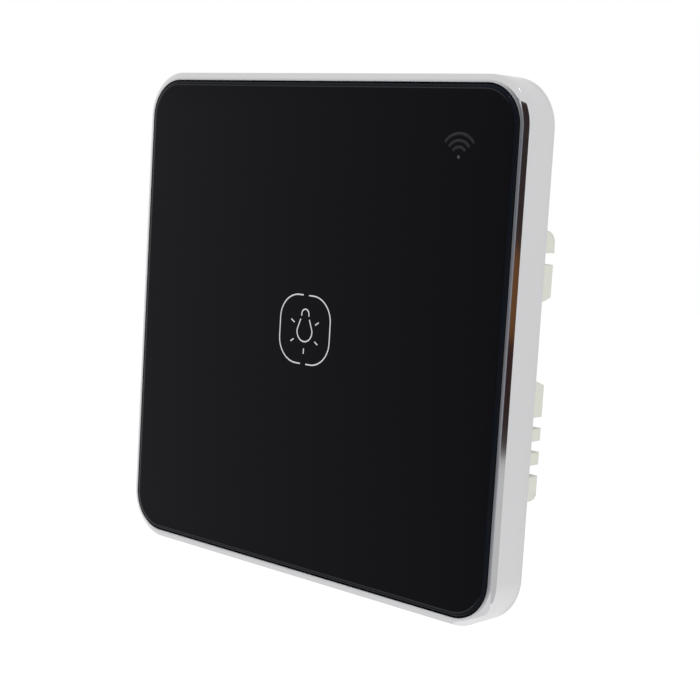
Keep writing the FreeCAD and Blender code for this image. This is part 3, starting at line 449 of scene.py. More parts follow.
def soft_copy(node, name, width, spare=()):
    """A copy of a CAD node, its loose triangles merged and its edges rounded, in its CAD box."""
    activate(nodes[node])
    bpy.ops.object.duplicate()
    piece = named(name)
    bpy.ops.object.parent_clear(type="CLEAR_KEEP_TRANSFORM")
    del piece["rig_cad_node"]
    enter_edit_mode()
    bpy.ops.mesh.remove_doubles(threshold=CAD_SEAM)
    leave_edit_mode()
    round_edges(piece, width, spare)
    low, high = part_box(node)
    for point in piece.data.vertices:
        for axis in range(3):
            point.co[axis] = min(max(point.co[axis], low[axis]), high[axis])
    return piece


# Materials

# The width of the circuit boards' lanes, and where a lane's track ends beside its middle
TRACK_PITCH = 1.6 * MM
TRACK_EDGE = (0.34, 0.38)
# The thickness of a winding's wire
COIL_WIRE = 0.5 * MM
# The stripe on the tall capacitor's sleeve, measured from its left, and the blur of its edges
STRIPE = (0.4 * MM, 1.6 * MM)
STRIPE_BLUR = 0.05 * MM


def grey(level):
    return (level, level, level)


BLACK, WHITE = grey(0.0), grey(1.0)


class Value:
    """A shader socket that can be used in sums."""

    def __init__(self, graph, socket):
        self.graph = graph
        self.socket = socket

    def __add__(self, other):
        return self.graph.maths("ADD", self, other)

    __radd__ = __add__

    def __mul__(self, other):
        return self.graph.maths("MULTIPLY", self, other)

    __rmul__ = __mul__

    def __sub__(self, other):
        return self.graph.maths("SUBTRACT", self, other)

    def __rsub__(self, other):
        return self.graph.maths("SUBTRACT", other, self)

    def size(self):
        return self.graph.maths("ABSOLUTE", self)

    def fraction(self):
        return self.graph.maths("FRACT", self)

    def wave(self):
        return self.graph.maths("SINE", self)

    def larger(self, other):
        return self.graph.maths("MAXIMUM", self, other)

    def between(self, low, high):
        """0 below low, 1 above high, and a soft step between."""
        settings = {"interpolation_type": "SMOOTHSTEP"}
        inputs = {"Value": self, "From Min": low, "From Max": high}
        return self.graph.node("ShaderNodeMapRange", settings, inputs)


class Graph:
    """The nodes of a material or a world."""

    def __init__(self, owner):
        owner.use_nodes = True
        self.tree = owner.node_tree

    def feed(self, socket, value):
        if isinstance(value, Value):
            self.tree.links.new(value.socket, socket)
        elif socket.type == "RGBA" and len(value) == 3:
            socket.default_value = (*value, 1.0)
        else:
            socket.default_value = value

    def node(self, kind, settings=None, inputs=None, output=0):
        made = self.tree.nodes.new(kind)
        for name, value in (settings or {}).items():
            setattr(made, name, value)
        for name, value in (inputs or {}).items():
            self.feed(made.inputs[name], value)
        return Value(self, made.outputs[output])

    def outputs(self, value):
        """All the outputs of a value's node, by name."""
        return {socket.name: Value(self, socket) for socket in value.socket.node.outputs}

    def finish(self, kind, shader):
        """Puts a shader on a new output, which takes the place of the standard one."""
        output = self.tree.nodes.new(kind)
        self.feed(output.inputs[0], shader)
        output.is_active_output = True

    def maths(self, operation, *values):
        return self.node("ShaderNodeMath", {"operation": operation}, dict(enumerate(values)))

    def point(self):
        return self.node("ShaderNodeTexCoord", output="Object")

    def place(self):
        """The X, Y and Z of a point of the piece."""
        split = self.node("ShaderNodeSeparateXYZ", inputs={"Vector": self.point()})
        return self.outputs(split).values()

    def noise(self, scale, detail=2.0):
        inputs = {"Vector": self.point(), "Scale": scale, "Detail": detail}
        return self.node("ShaderNodeTexNoise", inputs=inputs)

    def mix(self, factor, first, second):
        inputs = {0: factor, 6: first, 7: second}
        return self.node("ShaderNodeMix", {"data_type": "RGBA"}, inputs, output=2)

    def bump(self, height, strength, distance):
        inputs = {"Height": height, "Strength": strength, "Distance": distance}
        return self.node("ShaderNodeBump", inputs=inputs)

    def seen(self, mirrored=1.0):
        """1 for what the camera or a clear piece shows, a share for a mirror, and 0 for light."""
        rays = self.outputs(self.node("ShaderNodeLightPath"))
        mirror = mirrored * rays["Is Glossy Ray"]
        return rays["Is Camera Ray"].larger(mirror).larger(rays["Is Transmission Ray"])


class Finish(Graph):
    """A material on one Principled shader."""

    def __init__(self, name, **sockets):
        self.material = bpy.data.materials.new(name)
        super().__init__(self.material)
        self.shader = self.tree.nodes["Principled BSDF"]
        self.set(**sockets)

    def set(self, **sockets):
        for name, value in sockets.items():
            title = name.replace("_", " ").title().replace("Ior", "IOR")
            self.feed(self.shader.inputs[title], value)


def coat(piece, first, second=None, takes_second=None):
    """Gives a piece its material, and a second one to the faces that pass a test."""
    piece.data.materials.clear()
    piece.data.materials.append(first.material)
    if second:
        piece.data.materials.append(second.material)
        for face in piece.data.polygons:
            face.material_index = int(takes_second(face))


def wear(node, finish):
    """Gives a CAD node its material."""
    thing = nodes[node]
    if not thing.material_slots:
        thing.data.materials.append(finish.material)
    for slot in thing.material_slots:
        slot.material = finish.material


def plain(name, tint, roughness, metallic=0.0, spread=0.08, scale=3000.0):
    """One colour, whose roughness rises by a spread here and there."""
    finish = Finish(name, base_color=tint, metallic=metallic)
    finish.set(roughness=roughness + spread * finish.noise(scale))
    return finish


def black_glass(colours):
    """Clear glass over black print."""
    finish = plain("Black glass", colours.glass, 0.02, spread=0.01, scale=300.0)
    finish.set(ior=1.5, specular_ior_level=0.3)
    return finish


def glass_edge():
    """The glass's rounded edge, which is less polished than its face and darker behind."""
    finish = Finish("Glass edge", ior=1.16, specular_ior_level=0.3)
    cloud = finish.noise(1500.0)
    finish.set(
        base_color=finish.mix(cloud, (0.005, 0.0065, 0.01), (0.007, 0.009, 0.013)),
        roughness=0.02 + 0.02 * cloud,
    )
    return finish


def moulded(name, tint):
    """Plastic with cloudy patches and a fine grain."""
    finish = Finish(name, ior=1.46)
    cloud = finish.noise(700.0, 3.0)
    finish.set(
        base_color=finish.mix(0.06 * cloud, tint, WHITE),
        roughness=0.42 + 0.12 * cloud,
        normal=finish.bump(finish.noise(22000.0), 0.1, 0.02 * MM),
    )
    return finish


def circuit_board(tint):
    """Solder mask with paler tracks under it, which run along X or Z from patch to patch."""
    finish = Finish("Green circuit board", ior=1.5)
    x, _, z = finish.place()
    lanes = [(line * (1.0 / TRACK_PITCH)).fraction() for line in (x, z)]
    across, along = [(lane - 0.5).size().between(*TRACK_EDGE) for lane in lanes]
    turned = finish.noise(260.0, 0.0).between(0.495, 0.505)
    tracks = across * turned + along * (1 - turned)
    finish.set(
        base_color=finish.mix(tracks, tint, [1.9 * part for part in tint]),
        roughness=0.3 + 0.08 * finish.noise(3000.0),
        normal=finish.bump(tracks, 0.3, 0.03 * MM),
    )
    return finish


def sleeve(tint, mark, left):
    """A shrunk sleeve with a plain stripe down one side, measured from its left."""
    finish = Finish("Capacitor sleeve")
    x, _, _ = finish.place()
    start, end = [x.between(left + edge, left + edge + STRIPE_BLUR) for edge in STRIPE]
    finish.set(
        base_color=finish.mix(start - end, tint, mark),
        roughness=0.25 + 0.1 * finish.noise(2500.0),
    )
    return finish


def windings(tint, tape):
    """A wound coil between tape and core: rows of wire across the piece."""
    finish = Finish("Ferrite and tape")
    _, y, _ = finish.place()
    rows = (y * (2 * math.pi / COIL_WIRE)).wave()
    cloud = finish.noise(400.0, 3.0)
    finish.set(
        base_color=finish.mix(cloud.between(0.35, 0.65), tint, tape),
        roughness=0.35 + 0.1 * cloud,
        normal=finish.bump(rows, 0.4, 0.05 * MM),
    )
    return finish


# The pieces

# Between these shares of Y in its normal, a face of the frame belongs to the polished bevel
POLISHED = (-0.94, -0.5)
# The wireless sign: its middle (x, z), and the radii, start and end of its waves
SIGN_CENTRE = (30.65 * MM, 30.2 * MM)
WAVE_RADII = (1.53 * MM, 2.53 * MM, 3.6 * MM)
WAVE_ANGLES = (142.0, 38.0)
# How much lighter its dot is, and the dot's rounding as a share of the lines' height
DOT_LIGHTNESS, DOT_ROUNDING = 5.0, 0.6
# The ejector pin marks: how far beside the label place, and inside its foot and top
PIN_ASIDE, PIN_INSIDE = 3.4 * MM, 1.5 * MM
# The screws: CAD node, body, radius of head and shank, height of the head, whether it is
# countersunk, and whether the second screw sits higher than the first
HOUSING_SCREW_HEAD = 1.7 * MM
SCREWS = (
    ("housing_screws", "base", HOUSING_SCREW_HEAD, 1.0 * MM, 1.1 * MM, False, True),
    ("power_board_screws", "base", 1.8 * MM, 0.9 * MM, 1.2 * MM, False, False),
    ("board_screws", "panel", 1.7 * MM, 0.8 * MM, 1.1 * MM, False, True),
    ("carrier_screws", "panel", 1.0 * MM, 0.7 * MM, 0.6 * MM, True, True),
)
# The length of a shank's tip, as a share of its radius
TIP = 0.3
# The rounding of a countersunk and of a round head, as shares of the head's height
FLAT_ROUNDING, ROUND_ROUNDING = 0.12, 0.4
# The cross recess: half its length and half its width as shares of the head's radius, its
# depth as a share of the head's height, and the size of its floor as a share of its mouth
CROSS_REACH, CROSS_ARM, CROSS_DEPTH, CROSS_FLOOR = 0.62, 0.13, 0.6, 0.55
# The turns of the sensing spring, and the steps in which they are wound
SPRING_TURNS, SPRING_STEPS = 2.5, 90
# The touch board's small parts: length, height and width
RESISTOR = (1.6 * MM, 0.45 * MM, 0.8 * MM)
CAPACITOR = (2.0 * MM, 0.9 * MM, 1.25 * MM)
# Their places (x, z) in millimetres
RESISTOR_SPOTS = (
    (-14.2, -2.0), (-14.2, 0.0), (-14.2, 2.0), (-9.8, -2.0), (-9.8, 0.0), (-5.4, 2.6), (-5.4, 0.4)
)
CAPACITOR_SPOTS = (
    (-14.2, 4.4), (-5.4, -1.8), (-9.8, 2.0), (-2.4, 15.0), (-2.4, 12.6), (-12.0, 15.0), (-8.6, 15.0)
)
# The metal end of such a part as a share of its length, the rim and depth of the sunk middle
# of its top, and the rounding of its ends
CHIP_END = 0.22
CHIP_RIM, CHIP_SINK, CHIP_EDGE = 0.03 * MM, 0.05 * MM, 0.06 * MM


class PieceOperator:
    """What the operators share."""

    bl_options = {"REGISTER", "UNDO"}

    def sizes(self):
        return bpy.context.scene.switch_sizes

    def colours(self):
        return bpy.context.scene.switch_colours


def open_ledge(depth, ledge_width):
    """Pushes the chosen face back to the ledge, and opens it inside the ledge."""
    push(depth)
    step_in(ledge_width)
    bpy.ops.mesh.delete(type="FACE")
    leave_edit_mode()


def bridge_openings(piece):
    """Joins the two openings of a piece by a wall, and turns its faces outwards."""
    uses = Counter(key for face in piece.data.polygons for key in face.edge_keys)
    choose(piece, "EDGE", lambda edge: uses[edge.key] == 1)
    bpy.ops.mesh.bridge_edge_loops()
    bpy.ops.mesh.select_all(action="SELECT")
    bpy.ops.mesh.normals_make_consistent(inside=False)
    leave_edit_mode()


class SWITCH_OT_metal_frame(PieceOperator, bpy.types.Operator):
    """Adds the metal frame with its polished bevel, ledge and pry notch"""

    bl_idname = "switch.metal_frame"
    bl_label = "Metal Frame"

    def execute(self, context):
        sizes, colours = self.sizes(), self.colours()
        front, ledge_front = plate_low.y, carrier_low.y
        wall = sizes.bevel_width + sizes.land_width
        low = (plate_low.x, front + sizes.bevel_depth, plate_low.z)
        piece = add_plate("metal_frame", low, plate_high, sizes.plate_corner, CORNER_STEPS)
        choose_faces(piece, looks_front)
        step_in(sizes.bevel_width, sizes.bevel_depth - sizes.land_fall)
        step_in(sizes.land_width, sizes.land_fall)
        open_ledge(ledge_front - front, sizes.ledge_width)
        choose_faces(piece, looks_rear)
        step_in(wall)
        open_ledge(ledge_front + sizes.ledge_thickness, sizes.ledge_width)
        bridge_openings(piece)
        half, height = sizes.notch_width / 2, sizes.notch_height
        notch_low = (-half, -height, plate_low.z - wall)
        cut_with(piece, add_box("notch", notch_low, (half, height, plate_low.z + 2 * wall)))
        choose_edges(piece, level_at(front + sizes.land_fall))
        round_chosen(sizes.land_edge, 3)
        bend = math.radians(30.0)
        edge = sizes.frame_edge
        modify(piece, "BEVEL", width=edge, segments=2, limit_method="ANGLE", angle_limit=bend)
        metal = colours.metal
        satin = plain("Satin anodised aluminium", metal, 0.3, 1.0, spread=0.06, scale=9000.0)
        polished = plain("Polished aluminium", metal, 0.06, 1.0, spread=0.02, scale=4000.0)
        coat(piece, satin, polished, lambda face: POLISHED[0] < face.normal.y < POLISHED[1])
        smooth(piece)
        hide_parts("aluminium_frame")
        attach(piece, "panel")
        return {"FINISHED"}


class SWITCH_OT_glass(PieceOperator, bpy.types.Operator):
    """Adds the glass with its rounded front edge"""

    bl_idname = "switch.glass"
    bl_label = "Glass"

    def execute(self, context):
        sizes, colours = self.sizes(), self.colours()
        front = glass_low.y + sizes.line_height
        low = (glass_low.x, front, glass_low.z)
        piece = add_plate("glass", low, glass_high, sizes.glass_corner, CORNER_STEPS)
        choose_edges(piece, level_at(front))
        round_chosen(sizes.glass_edge, 8)
        coat(piece, black_glass(colours), glass_edge(), lambda face: abs(face.normal.y) < FACING)
        smooth(piece, 50.0)
        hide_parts("glass_panel")
        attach(piece, "panel")
        return {"FINISHED"}


def arc(centre, radius, start, end, steps=16):
    """Points (x, z) along an arc, its angles in degrees from +X towards +Z."""
    points = []
    for step in range(steps + 1):
        angle = math.radians(start + (end - start) * step / steps)
        points.append(
            (centre[0] + radius * math.cos(angle), centre[1] + radius * math.sin(angle))
        )
    return points


def ring(width, height, corner, gap):
    """The two halves of a ring with rounded corners, open at its top and bottom."""
    across, up = width / 2 - corner, height / 2 - corner
    right = [
        (gap / 2, height / 2),
        *arc((across, up), corner, 90.0, 0.0),
        *arc((across, -up), corner, 0.0, -90.0),
        (gap / 2, -height / 2),
    ]
    return [right, [(-x, z) for x, z in right]]


def bulb():
    """A hanging bulb round the middle: its globe and cap, a ray below and two on each side."""
    # Drawn in millimetres
    globe = [(-1.0, 1.77), *arc((0.0, -0.3), 1.75, 172.0, 368.0, 24), (1.0, 1.77)]
    cap = [(-0.85, 2.3), *arc((0.0, 2.65), 0.83, 180.0, 0.0, 12), (0.85, 2.3)]
    ray_below = [(0.0, -3.22), (0.0, -4.12)]
    rays = [[(2.43, 1.02), (3.2, 1.52)], [(2.44, -1.8), (3.15, -2.25)]]
    rays += [[(-x, z) for x, z in ray] for ray in rays]
    return [[(x * MM, z * MM) for x, z in run] for run in (globe, cap, ray_below, *rays)]


def draw(name, runs, width, height, finish):
    """Printed lines that stand a little out of the glass, along runs of points (x, z)."""
    piece = add_tubes(name, [[(x, 0.0, z) for x, z in run] for run in runs], width, 2)
    flat = (1.0, 2 * height / width, 1.0)
    bpy.ops.transform.resize(value=flat, center_override=(0.0, 0.0, 0.0))
    bpy.ops.transform.translate(value=(0.0, glass_low.y + height, 0.0))
    settle(piece)
    weld(piece)
    coat(piece, finish)
    smooth(piece, 60.0)
    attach(piece, "panel")


class SWITCH_OT_touch_symbol(PieceOperator, bpy.types.Operator):
    """Adds the lit touch symbol: a ring in two halves with a hanging bulb and its rays"""

    bl_idname = "switch.touch_symbol"
    bl_label = "Touch Symbol"

    def execute(self, context):
        sizes, colours = self.sizes(), self.colours()
        halves = ring(sizes.ring_width, sizes.ring_height, sizes.ring_corner, sizes.ring_gap)
        lit = Finish("Lit symbol", base_color=colours.symbol, roughness=0.5)
        lit.set(emission_color=colours.symbol, emission_strength=0.25)
        draw("touch_symbol", halves + bulb(), sizes.line_width, sizes.line_height, lit)
        return {"FINISHED"}


class SWITCH_OT_wireless_sign(PieceOperator, bpy.types.Operator):
    """Adds the faint wireless sign in the upper corner"""

    bl_idname = "switch.wireless_sign"
    bl_label = "Wireless Sign"

    def execute(self, context):
        sizes, colours = self.sizes(), self.colours()
        waves = [arc(SIGN_CENTRE, radius, *WAVE_ANGLES) for radius in WAVE_RADII]
        faint = Finish("Grey print", base_color=colours.wireless, roughness=0.35)
        draw("wireless_waves", waves, sizes.wave_width, sizes.line_height, faint)
        lighter = [DOT_LIGHTNESS * part for part in colours.wireless]
        bright = Finish("Light grey print", base_color=lighter, roughness=0.35)
        (x, z), face = SIGN_CENTRE, glass_low.y
        foot = face + 2 * sizes.line_height
        dot = add_rod("wireless_dot", sizes.dot_radius, (x, face, z), (x, foot, z), sides=20)
        choose_edges(dot, level_at(face))
        round_chosen(DOT_ROUNDING * sizes.line_height, 2)
        coat(dot, bright)
        smooth(dot)
        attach(dot, "panel")
        return {"FINISHED"}


class SWITCH_OT_housing(PieceOperator, bpy.types.Operator):
    """Adds the cream housing with a bare label place and the marks of its mould"""

    bl_idname = "switch.housing"
    bl_label = "Rear Housing"

    def execute(self, context):
        sizes, colours = self.sizes(), self.colours()
        low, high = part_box("rear_housing")
        screws_low, screws_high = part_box("housing_screws")
        head = HOUSING_SCREW_HEAD
        # The rims of the recesses round the two screws' heads stay sharp
        spare = (
            (screws_high.x - head, screws_high.z - head),
            (screws_low.x + head, screws_low.z + head),
        )
        piece = soft_copy("rear_housing", "housing", sizes.mould_edge, spare)
        half, rear, depth = sizes.label_width / 2, high.y, sizes.label_depth
        foot = low.z + sizes.label_foot
        top = foot + sizes.label_height
        label_low, label_high = (-half, rear - depth, foot), (half, rear + depth, top)
        marks = [add_plate("label", label_low, label_high, sizes.label_corner, segments=6)]
        for x in (-half - PIN_ASIDE, half + PIN_ASIDE):
            for z in (foot + PIN_INSIDE, top - PIN_INSIDE):
                start, end = (x, rear - sizes.pin_depth, z), (x, rear + depth, z)
                marks.append(add_rod("pin_mark", sizes.pin_mark, start, end, sides=24))
        cut_with(piece, join("marks", marks))
        weld(piece)
        coat(piece, moulded("Cream housing", colours.cream))
        soften(piece)
        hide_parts("rear_housing")
        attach(piece, "base")
        return {"FINISHED"}


class SWITCH_OT_mouldings(PieceOperator, bpy.types.Operator):
    """Rounds the sharp edges of the other moulded pieces"""

    bl_idname = "switch.mouldings"
    bl_label = "Moulded Pieces"

    def execute(self, context):
        sizes, colours = self.sizes(), self.colours()
        cream = moulded("Cream plastic", colours.cream)
        dark = moulded("Dark plastic", (0.03, 0.03, 0.033))
        green = moulded("Terminal plastic", (0.06, 0.2, 0.08))
        # The last value is the rounding as a share of the moulded edge
        pieces = (
            ("base_plate", "flange", cream, "base", 1.0),
            ("panel_carrier", "carrier", dark, "panel", 0.8),
            ("snap_arms", "arms", dark, "panel", 0.6),
            ("terminal_block", "block", green, "base", 1.0),
            ("socket_header", "socket", dark, "base", 0.5),
            ("pin_strip", "strip", dark, "panel", 0.5),
        )
        for node, name, finish, body, share in pieces:
            piece = soft_copy(node, name, share * sizes.mould_edge)
            coat(piece, finish)
            soften(piece)
            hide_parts(node)
            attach(piece, body)
        return {"FINISHED"}


def cross_screw(head, shank, height, full_length, countersunk, finish):
    """A screw along Y, its head's face at 0 and to the rear, with a cross recess in it."""
    piece = add_rod("screw", head, (0.0, -height, 0.0), (0.0, 0.0, 0.0))
    choose_faces(piece, looks_front)
    if countersunk:
        narrow = (shank / head, 1.0, shank / head)
        bpy.ops.transform.resize(value=narrow, center_override=(0.0, -height, 0.0))
    else:
        step_in(head - shank)
    tip = TIP * shank
    push(height + tip - full_length)
    step_in(tip, tip)
    leave_edit_mode()
    choose_edges(piece, level_at(0.0))
    round_chosen((FLAT_ROUNDING if countersunk else ROUND_ROUNDING) * height, 4)
    arm, wing, depth = CROSS_REACH * head, CROSS_ARM * head, CROSS_DEPTH * height
    for half_x, half_z in ((arm, wing), (wing, arm)):
        slot = add_box("slot", (-half_x, -depth, -half_z), (half_x, height, half_z))
        choose_faces(slot, looks_front)
        floor = (CROSS_FLOOR, 1.0, CROSS_FLOOR)
        bpy.ops.transform.resize(value=floor, center_override=(0.0, -depth, 0.0))
        leave_edit_mode()
        cut_with(piece, slot)
    coat(piece, finish)
    smooth(piece, 30.0)
    return piece


class SWITCH_OT_screws(PieceOperator, bpy.types.Operator):
    """Adds the small screws with their cross recesses"""

    bl_idname = "switch.screws"
    bl_label = "Screws"

    def execute(self, context):
        steel = plain("Zinc plated steel", (0.55, 0.56, 0.57), 0.3, 1.0)
        for node, body, head, shank, height, countersunk, rising in SCREWS:
            low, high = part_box(node)
            foot = low.z + head
            top = high.z - head if rising else foot
            master = cross_screw(head, shank, height, high.y - low.y, countersunk, steel)
            places = ((low.x + head, high.y, foot), (high.x - head, high.y, top))
            piece = join(node.replace("screws", "fasteners"), copy_to(master, places))
            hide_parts(node)
            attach(piece, body)
        return {"FINISHED"}


class SWITCH_OT_touch_spring(PieceOperator, bpy.types.Operator):
    """Adds the sensing spring, wound from round wire between the touch board and the glass"""

    bl_idname = "switch.touch_spring"
    bl_label = "Touch Spring"

    def execute(self, context):
        sizes = self.sizes()
        low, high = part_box("touch_spring")
        wire = sizes.spring_wire
        radius = (high.x - low.x - wire) / 2
        start, end = high.y - wire / 2, low.y + wire / 2
        turn = 2 * math.pi * SPRING_TURNS
        coil = []
        for step in range(SPRING_STEPS + 1):
            share = step / SPRING_STEPS
            x, z = radius * math.cos(turn * share), radius * math.sin(turn * share)
            coil.append((x, start + (end - start) * share, z))
        piece = settle(add_tubes("sensing_spring", [coil], wire, 3))
        weld(piece)
        coat(piece, plain("Spring steel", (0.55, 0.56, 0.57), 0.2, 1.0))
        smooth(piece, 60.0)
        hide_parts("touch_spring")
        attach(piece, "panel")
        return {"FINISHED"}


def chip_part(name, size, body, ends):
    """A small soldered part on the board's rear, long in X, its two ends of metal."""
    long, high, wide = size
    end = long / 2
    inner = end - CHIP_END * long
    piece = add_box(name, (-end, 0.0, -wide / 2), (end, high, wide / 2))
    enter_edit_mode()
    for place in (-inner, inner):
        cut_across(0, place)
    leave_edit_mode()
    choose_faces(piece, lambda middle, normal: abs(middle.x) < inner and normal.y > FACING)
    step_in(CHIP_RIM)
    push(-CHIP_SINK)
    leave_edit_mode()
    choose_edges(piece, lambda first, second: near(first.x, second.x) and near(abs(first.x), end))
    round_chosen(CHIP_EDGE, 2)
    coat(piece, body, ends, lambda face: abs(face.center.x) > inner)
    smooth(piece, 30.0)
    return piece


class SWITCH_OT_board_parts(PieceOperator, bpy.types.Operator):
    """Adds the small soldered parts on the rear of the touch board"""

    bl_idname = "switch.board_parts"
    bl_label = "Board Parts"

    def execute(self, context):
        tin = plain("Solder", (0.75, 0.75, 0.74), 0.25, 1.0)
        ceramic = plain("Tan ceramic", (0.35, 0.2, 0.09), 0.35)
        film = plain("Resistor coating", (0.012, 0.012, 0.014), 0.3)
        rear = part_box("touch_board")[1].y
        groups = (
            ("resistors", RESISTOR, film, RESISTOR_SPOTS),
            ("capacitors", CAPACITOR, ceramic, CAPACITOR_SPOTS),
        )
        for name, size, body, spots in groups:
            master = chip_part(name, size, body, tin)
            piece = join(name, copy_to(master, [(x * MM, rear, z * MM) for x, z in spots]))
            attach(piece, "panel")
        return {"FINISHED"}


class SWITCH_OT_parts(PieceOperator, bpy.types.Operator):
    """Gives the parts inside and behind their materials"""

    bl_idname = "switch.parts"
    bl_label = "Inner Parts"

    def execute(self, context):
        board = circuit_board(self.colours().board)
        brass = plain("Brass", (0.75, 0.55, 0.25), 0.25, 1.0)
        chip = plain("Chip moulding", (0.015, 0.015, 0.016), 0.45)
        sleeve_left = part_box("electrolytic_capacitor")[0].x
        plated = plain("Plated steel", (0.68, 0.64, 0.55), 0.25, 1.0)
        finishes = {
            "touch_board": board,
            "power_board": board,
            "wireless_module": board,
            "header_pins": brass,
            "terminal_contacts": brass,
            "touch_chip": chip,
            "rectifier": chip,
            "regulator": chip,
            "bonding_tape": plain("Foam tape", (0.02, 0.02, 0.02), 0.8),
            "module_shield": plain("Tinned can", (0.7, 0.7, 0.69), 0.22, 1.0),
            "light_guide": plain("Clear resin", (0.8, 0.82, 0.82), 0.1),
            "indicator_leds": plain("Light chip resin", (0.85, 0.82, 0.55), 0.3),
            "relay": plain("Relay case", (0.02, 0.09, 0.4), 0.3),
            "transformer": windings((0.25, 0.2, 0.04), (0.34, 0.27, 0.06)),
            "electrolytic_capacitor": sleeve((0.01, 0.012, 0.02), grey(0.5), sleeve_left),
            "film_capacitor": plain("Film capacitor case", (0.6, 0.45, 0.04), 0.35),
            "fuse": plain("Fuse cap", (0.12, 0.05, 0.03), 0.35),
            "varistor": plain("Varistor coating", (0.02, 0.07, 0.3), 0.25),
        }
        for number in range(1, 5):
            finishes[f"terminal_cage_{number}"] = plated
            finishes[f"terminal_screw_{number}"] = plated
        for node, finish in finishes.items():
            wear(node, finish)
        return {"FINISHED"}


# The studio

# The strength of the light from all round, and the glow of the floor
FILL_STRENGTH = 0.62
FLOOR_GLOW = 0.45
# How much of that glow metal and glass show
FLOOR_MIRRORED = 0.8
FLOOR_SIZE, FLOOR_HEIGHT = 8.0, -0.35
CARD_DISTANCE, LOW_CARD_DISTANCE = 0.5, 0.3
LAMP_DISTANCE = 0.9
# The elevations, in degrees, between which a card turns into its foot
FOOT_FADE = (-14.5, -9.0)
# The camera that fits the photo: its place, its direction and roll in degrees, and its lens
# and film in millimetres
CAMERA_PLACE = (180.39 * MM, -196.39 * MM, 27.12 * MM)
CAMERA_AZIMUTH, CAMERA_ELEVATION, CAMERA_ROLL = 41.94, 6.58, 3.42
CAMERA_LENS, CAMERA_FILM = 79.75, 36.0


def direction(azimuth, elevation):
    """Out from the object. Azimuth 0 is straight in front and 90 is to the right."""
    a, e = math.radians(azimuth), math.radians(elevation)
    return Vector((math.sin(a) * math.cos(e), -math.cos(a) * math.cos(e), math.sin(e)))


def face_object(thing, spot):
    thing.location = spot
    thing.rotation_euler = (-spot).to_track_quat("-Z", "Y").to_euler()


def add_surroundings():
    """Even light on the object, and the white that the camera, metal and glass see."""
    world = bpy.data.worlds.new("Studio")
    bpy.context.scene.world = world
    graph = Graph(world)
    fill, backdrop = [
        graph.node("ShaderNodeBackground", inputs={"Color": WHITE, "Strength": strength})
        for strength in (FILL_STRENGTH, 1.0)
    ]
    inputs = {0: graph.seen(), 1: fill, 2: backdrop}
    graph.finish("ShaderNodeOutputWorld", graph.node("ShaderNodeMixShader", inputs=inputs))


def add_lamp(name, azimuth, elevation, size, power):
    clear_selection()
    bpy.ops.object.light_add(type="AREA")
    thing = named(name)
    thing.data.size = size
    thing.data.energy = power
    thing.visible_glossy = False
    face_object(thing, direction(azimuth, elevation) * LAMP_DISTANCE)


def add_card(name, azimuths, elevations, tints, foot=None, distance=CARD_DISTANCE):
    """A card that only reflections see, shaded from left to right, its foot in other tints."""
    clear_selection()
    bpy.ops.mesh.primitive_plane_add(size=1.0)
    thing = named(name)
    (left, right), (low, high) = azimuths, elevations
    middle = (low + high) / 2
    width = 2 * distance * math.tan(math.radians(right - left) / 2)
    height = 2 * distance * math.tan(math.radians(high - low) / 2)
    thing.scale = (width, height, 1.0)
    face_object(thing, direction((left + right) / 2, middle) * distance)
    material = bpy.data.materials.new(name)
    graph = Graph(material)
    x, y, _ = graph.place()
    tint = graph.mix(x + 0.5, *tints)
    if foot:
        ends = [math.tan(math.radians(edge - middle)) * distance / height for edge in FOOT_FADE]
        tint = graph.mix(y.between(*ends), graph.mix(x + 0.5, *foot), tint)
    light = graph.node("ShaderNodeEmission", inputs={"Color": tint})
    graph.finish("ShaderNodeOutputMaterial", light)
    thing.data.materials.append(material)
    thing.visible_camera = False
    thing.visible_diffuse = False
    thing.visible_shadow = False
    thing.visible_transmission = False


def add_cards():
    """The cards in front of the object, two low ones under it and a small one for the glint."""
    blue, low_blue = (0.35, 0.4, 0.5), (0.66, 0.67, 0.72)
    pale, paper, glint = grey(0.73), grey(0.97), grey(14.0)
    # Pairs of tints, from left to right
    room = ((0.28, 0.28, 0.32), (0.07, 0.07, 0.09))
    sweep, sweep_foot = (BLACK, (0.35, 0.37, 0.42)), (BLACK, low_blue)
    dark = ((0.05, 0.035, 0.035), (0.04, 0.03, 0.03))
    brown = ((0.2, 0.09, 0.035), (0.16, 0.07, 0.03))
    red = ((0.04, 0.02, 0.02), (0.035, 0.02, 0.02))
    papers, close = (paper, paper), LOW_CARD_DISTANCE
    add_card("room_card", (-58.0, -19.0), (-26.0, 14.0), room)
    add_card("sweep_card", (-21.0, 17.5), (-45.0, 40.0), sweep, sweep_foot)
    add_card("blue_card", (16.5, 24.5), (-45.0, 20.0), (blue, blue), (low_blue, low_blue))
    add_card("dark_card", (24.0, 46.0), (-0.6, 38.0), dark)
    add_card("brown_card", (24.0, 46.0), (-5.1, 0.0), brown)
    add_card("red_card", (24.0, 46.0), (-11.7, -5.1), red)
    add_card("pale_card", (24.0, 46.0), (-45.0, -11.6), (pale, pale))
    add_card("ground_card", (-108.0, -46.0), (-66.0, -33.0), papers, distance=close)
    add_card("corner_card", (-14.0, 30.0), (-64.0, -30.0), papers, distance=close)
    add_card("glint_card", (30.0, 37.0), (57.0, 64.0), (glint, glint))


def add_floor():
    clear_selection()
    bpy.ops.mesh.primitive_plane_add(size=FLOOR_SIZE, location=(0.0, 0.0, FLOOR_HEIGHT))
    floor = named("floor")
    paper = Finish("Studio paper", base_color=grey(0.95), roughness=0.8, specular_ior_level=0.0)
    glow = paper.mix(paper.seen(FLOOR_MIRRORED), BLACK, WHITE)
    paper.set(emission_color=glow, emission_strength=FLOOR_GLOW)
    coat(floor, paper)


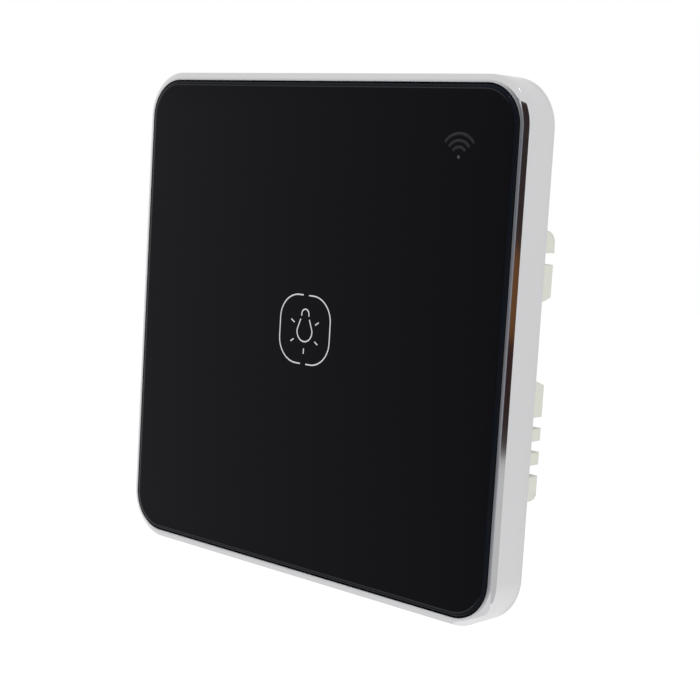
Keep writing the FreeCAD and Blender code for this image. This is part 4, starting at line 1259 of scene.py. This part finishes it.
def add_camera():
    bpy.ops.object.camera_add()
    camera = bpy.context.object
    camera.data.lens = CAMERA_LENS
    camera.data.sensor_width = CAMERA_FILM
    camera.data.clip_start = 0.01
    camera.data.clip_end = 20.0
    back = direction(CAMERA_AZIMUTH, CAMERA_ELEVATION)
    right = direction(CAMERA_AZIMUTH + 90.0, 0.0)
    up = back.cross(right)
    roll = math.radians(CAMERA_ROLL)
    tilted_right = math.cos(roll) * right + math.sin(roll) * up
    tilted_up = math.cos(roll) * up - math.sin(roll) * right
    turn = Matrix((tilted_right, tilted_up, back)).transposed()
    camera.matrix_world = Matrix.Translation(CAMERA_PLACE) @ turn.to_4x4()
    bpy.context.scene.camera = camera


class SWITCH_OT_stage(PieceOperator, bpy.types.Operator):
    """Adds the floor, lamps, cards, surroundings and camera"""

    bl_idname = "switch.stage"
    bl_label = "Stage"

    def execute(self, context):
        context.scene.view_settings.view_transform = "Standard"
        add_surroundings()
        add_lamp("key_lamp", -35.0, 50.0, size=0.5, power=3.0)
        add_lamp("side_lamp", 80.0, 25.0, size=0.6, power=2.0)
        add_cards()
        add_floor()
        add_camera()
        return {"FINISHED"}


class SWITCH_PT_panel(bpy.types.Panel):
    """Lists the pieces of the touch switch"""

    bl_label = "Touch Switch"
    bl_idname = "SWITCH_PT_panel"
    bl_space_type = "VIEW_3D"
    bl_region_type = "UI"
    bl_category = "Touch Switch"

    def draw(self, context):
        for operator in OPERATORS:
            self.layout.operator(operator.bl_idname)
        for group in (context.scene.switch_sizes, context.scene.switch_colours):
            for name in group.__annotations__:
                self.layout.prop(group, name)


OPERATORS = (
    SWITCH_OT_metal_frame,
    SWITCH_OT_glass,
    SWITCH_OT_touch_symbol,
    SWITCH_OT_wireless_sign,
    SWITCH_OT_housing,
    SWITCH_OT_mouldings,
    SWITCH_OT_screws,
    SWITCH_OT_touch_spring,
    SWITCH_OT_board_parts,
    SWITCH_OT_parts,
    SWITCH_OT_stage,
)
CLASSES = (SwitchSizes, SwitchColours, *OPERATORS, SWITCH_PT_panel)


def register():
    for item in CLASSES:
        bpy.utils.register_class(item)
    bpy.types.Scene.switch_sizes = bpy.props.PointerProperty(type=SwitchSizes)
    bpy.types.Scene.switch_colours = bpy.props.PointerProperty(type=SwitchColours)


def unregister():
    del bpy.types.Scene.switch_colours
    del bpy.types.Scene.switch_sizes
    for item in reversed(CLASSES):
        bpy.utils.unregister_class(item)


def main():
    register()
    bpy.ops.switch.metal_frame()
    bpy.ops.switch.glass()
    bpy.ops.switch.touch_symbol()
    bpy.ops.switch.wireless_sign()
    bpy.ops.switch.housing()
    bpy.ops.switch.mouldings()
    bpy.ops.switch.screws()
    bpy.ops.switch.touch_spring()
    bpy.ops.switch.board_parts()
    bpy.ops.switch.parts()
    bpy.ops.switch.stage()


if __name__ == "__main__":
    main()
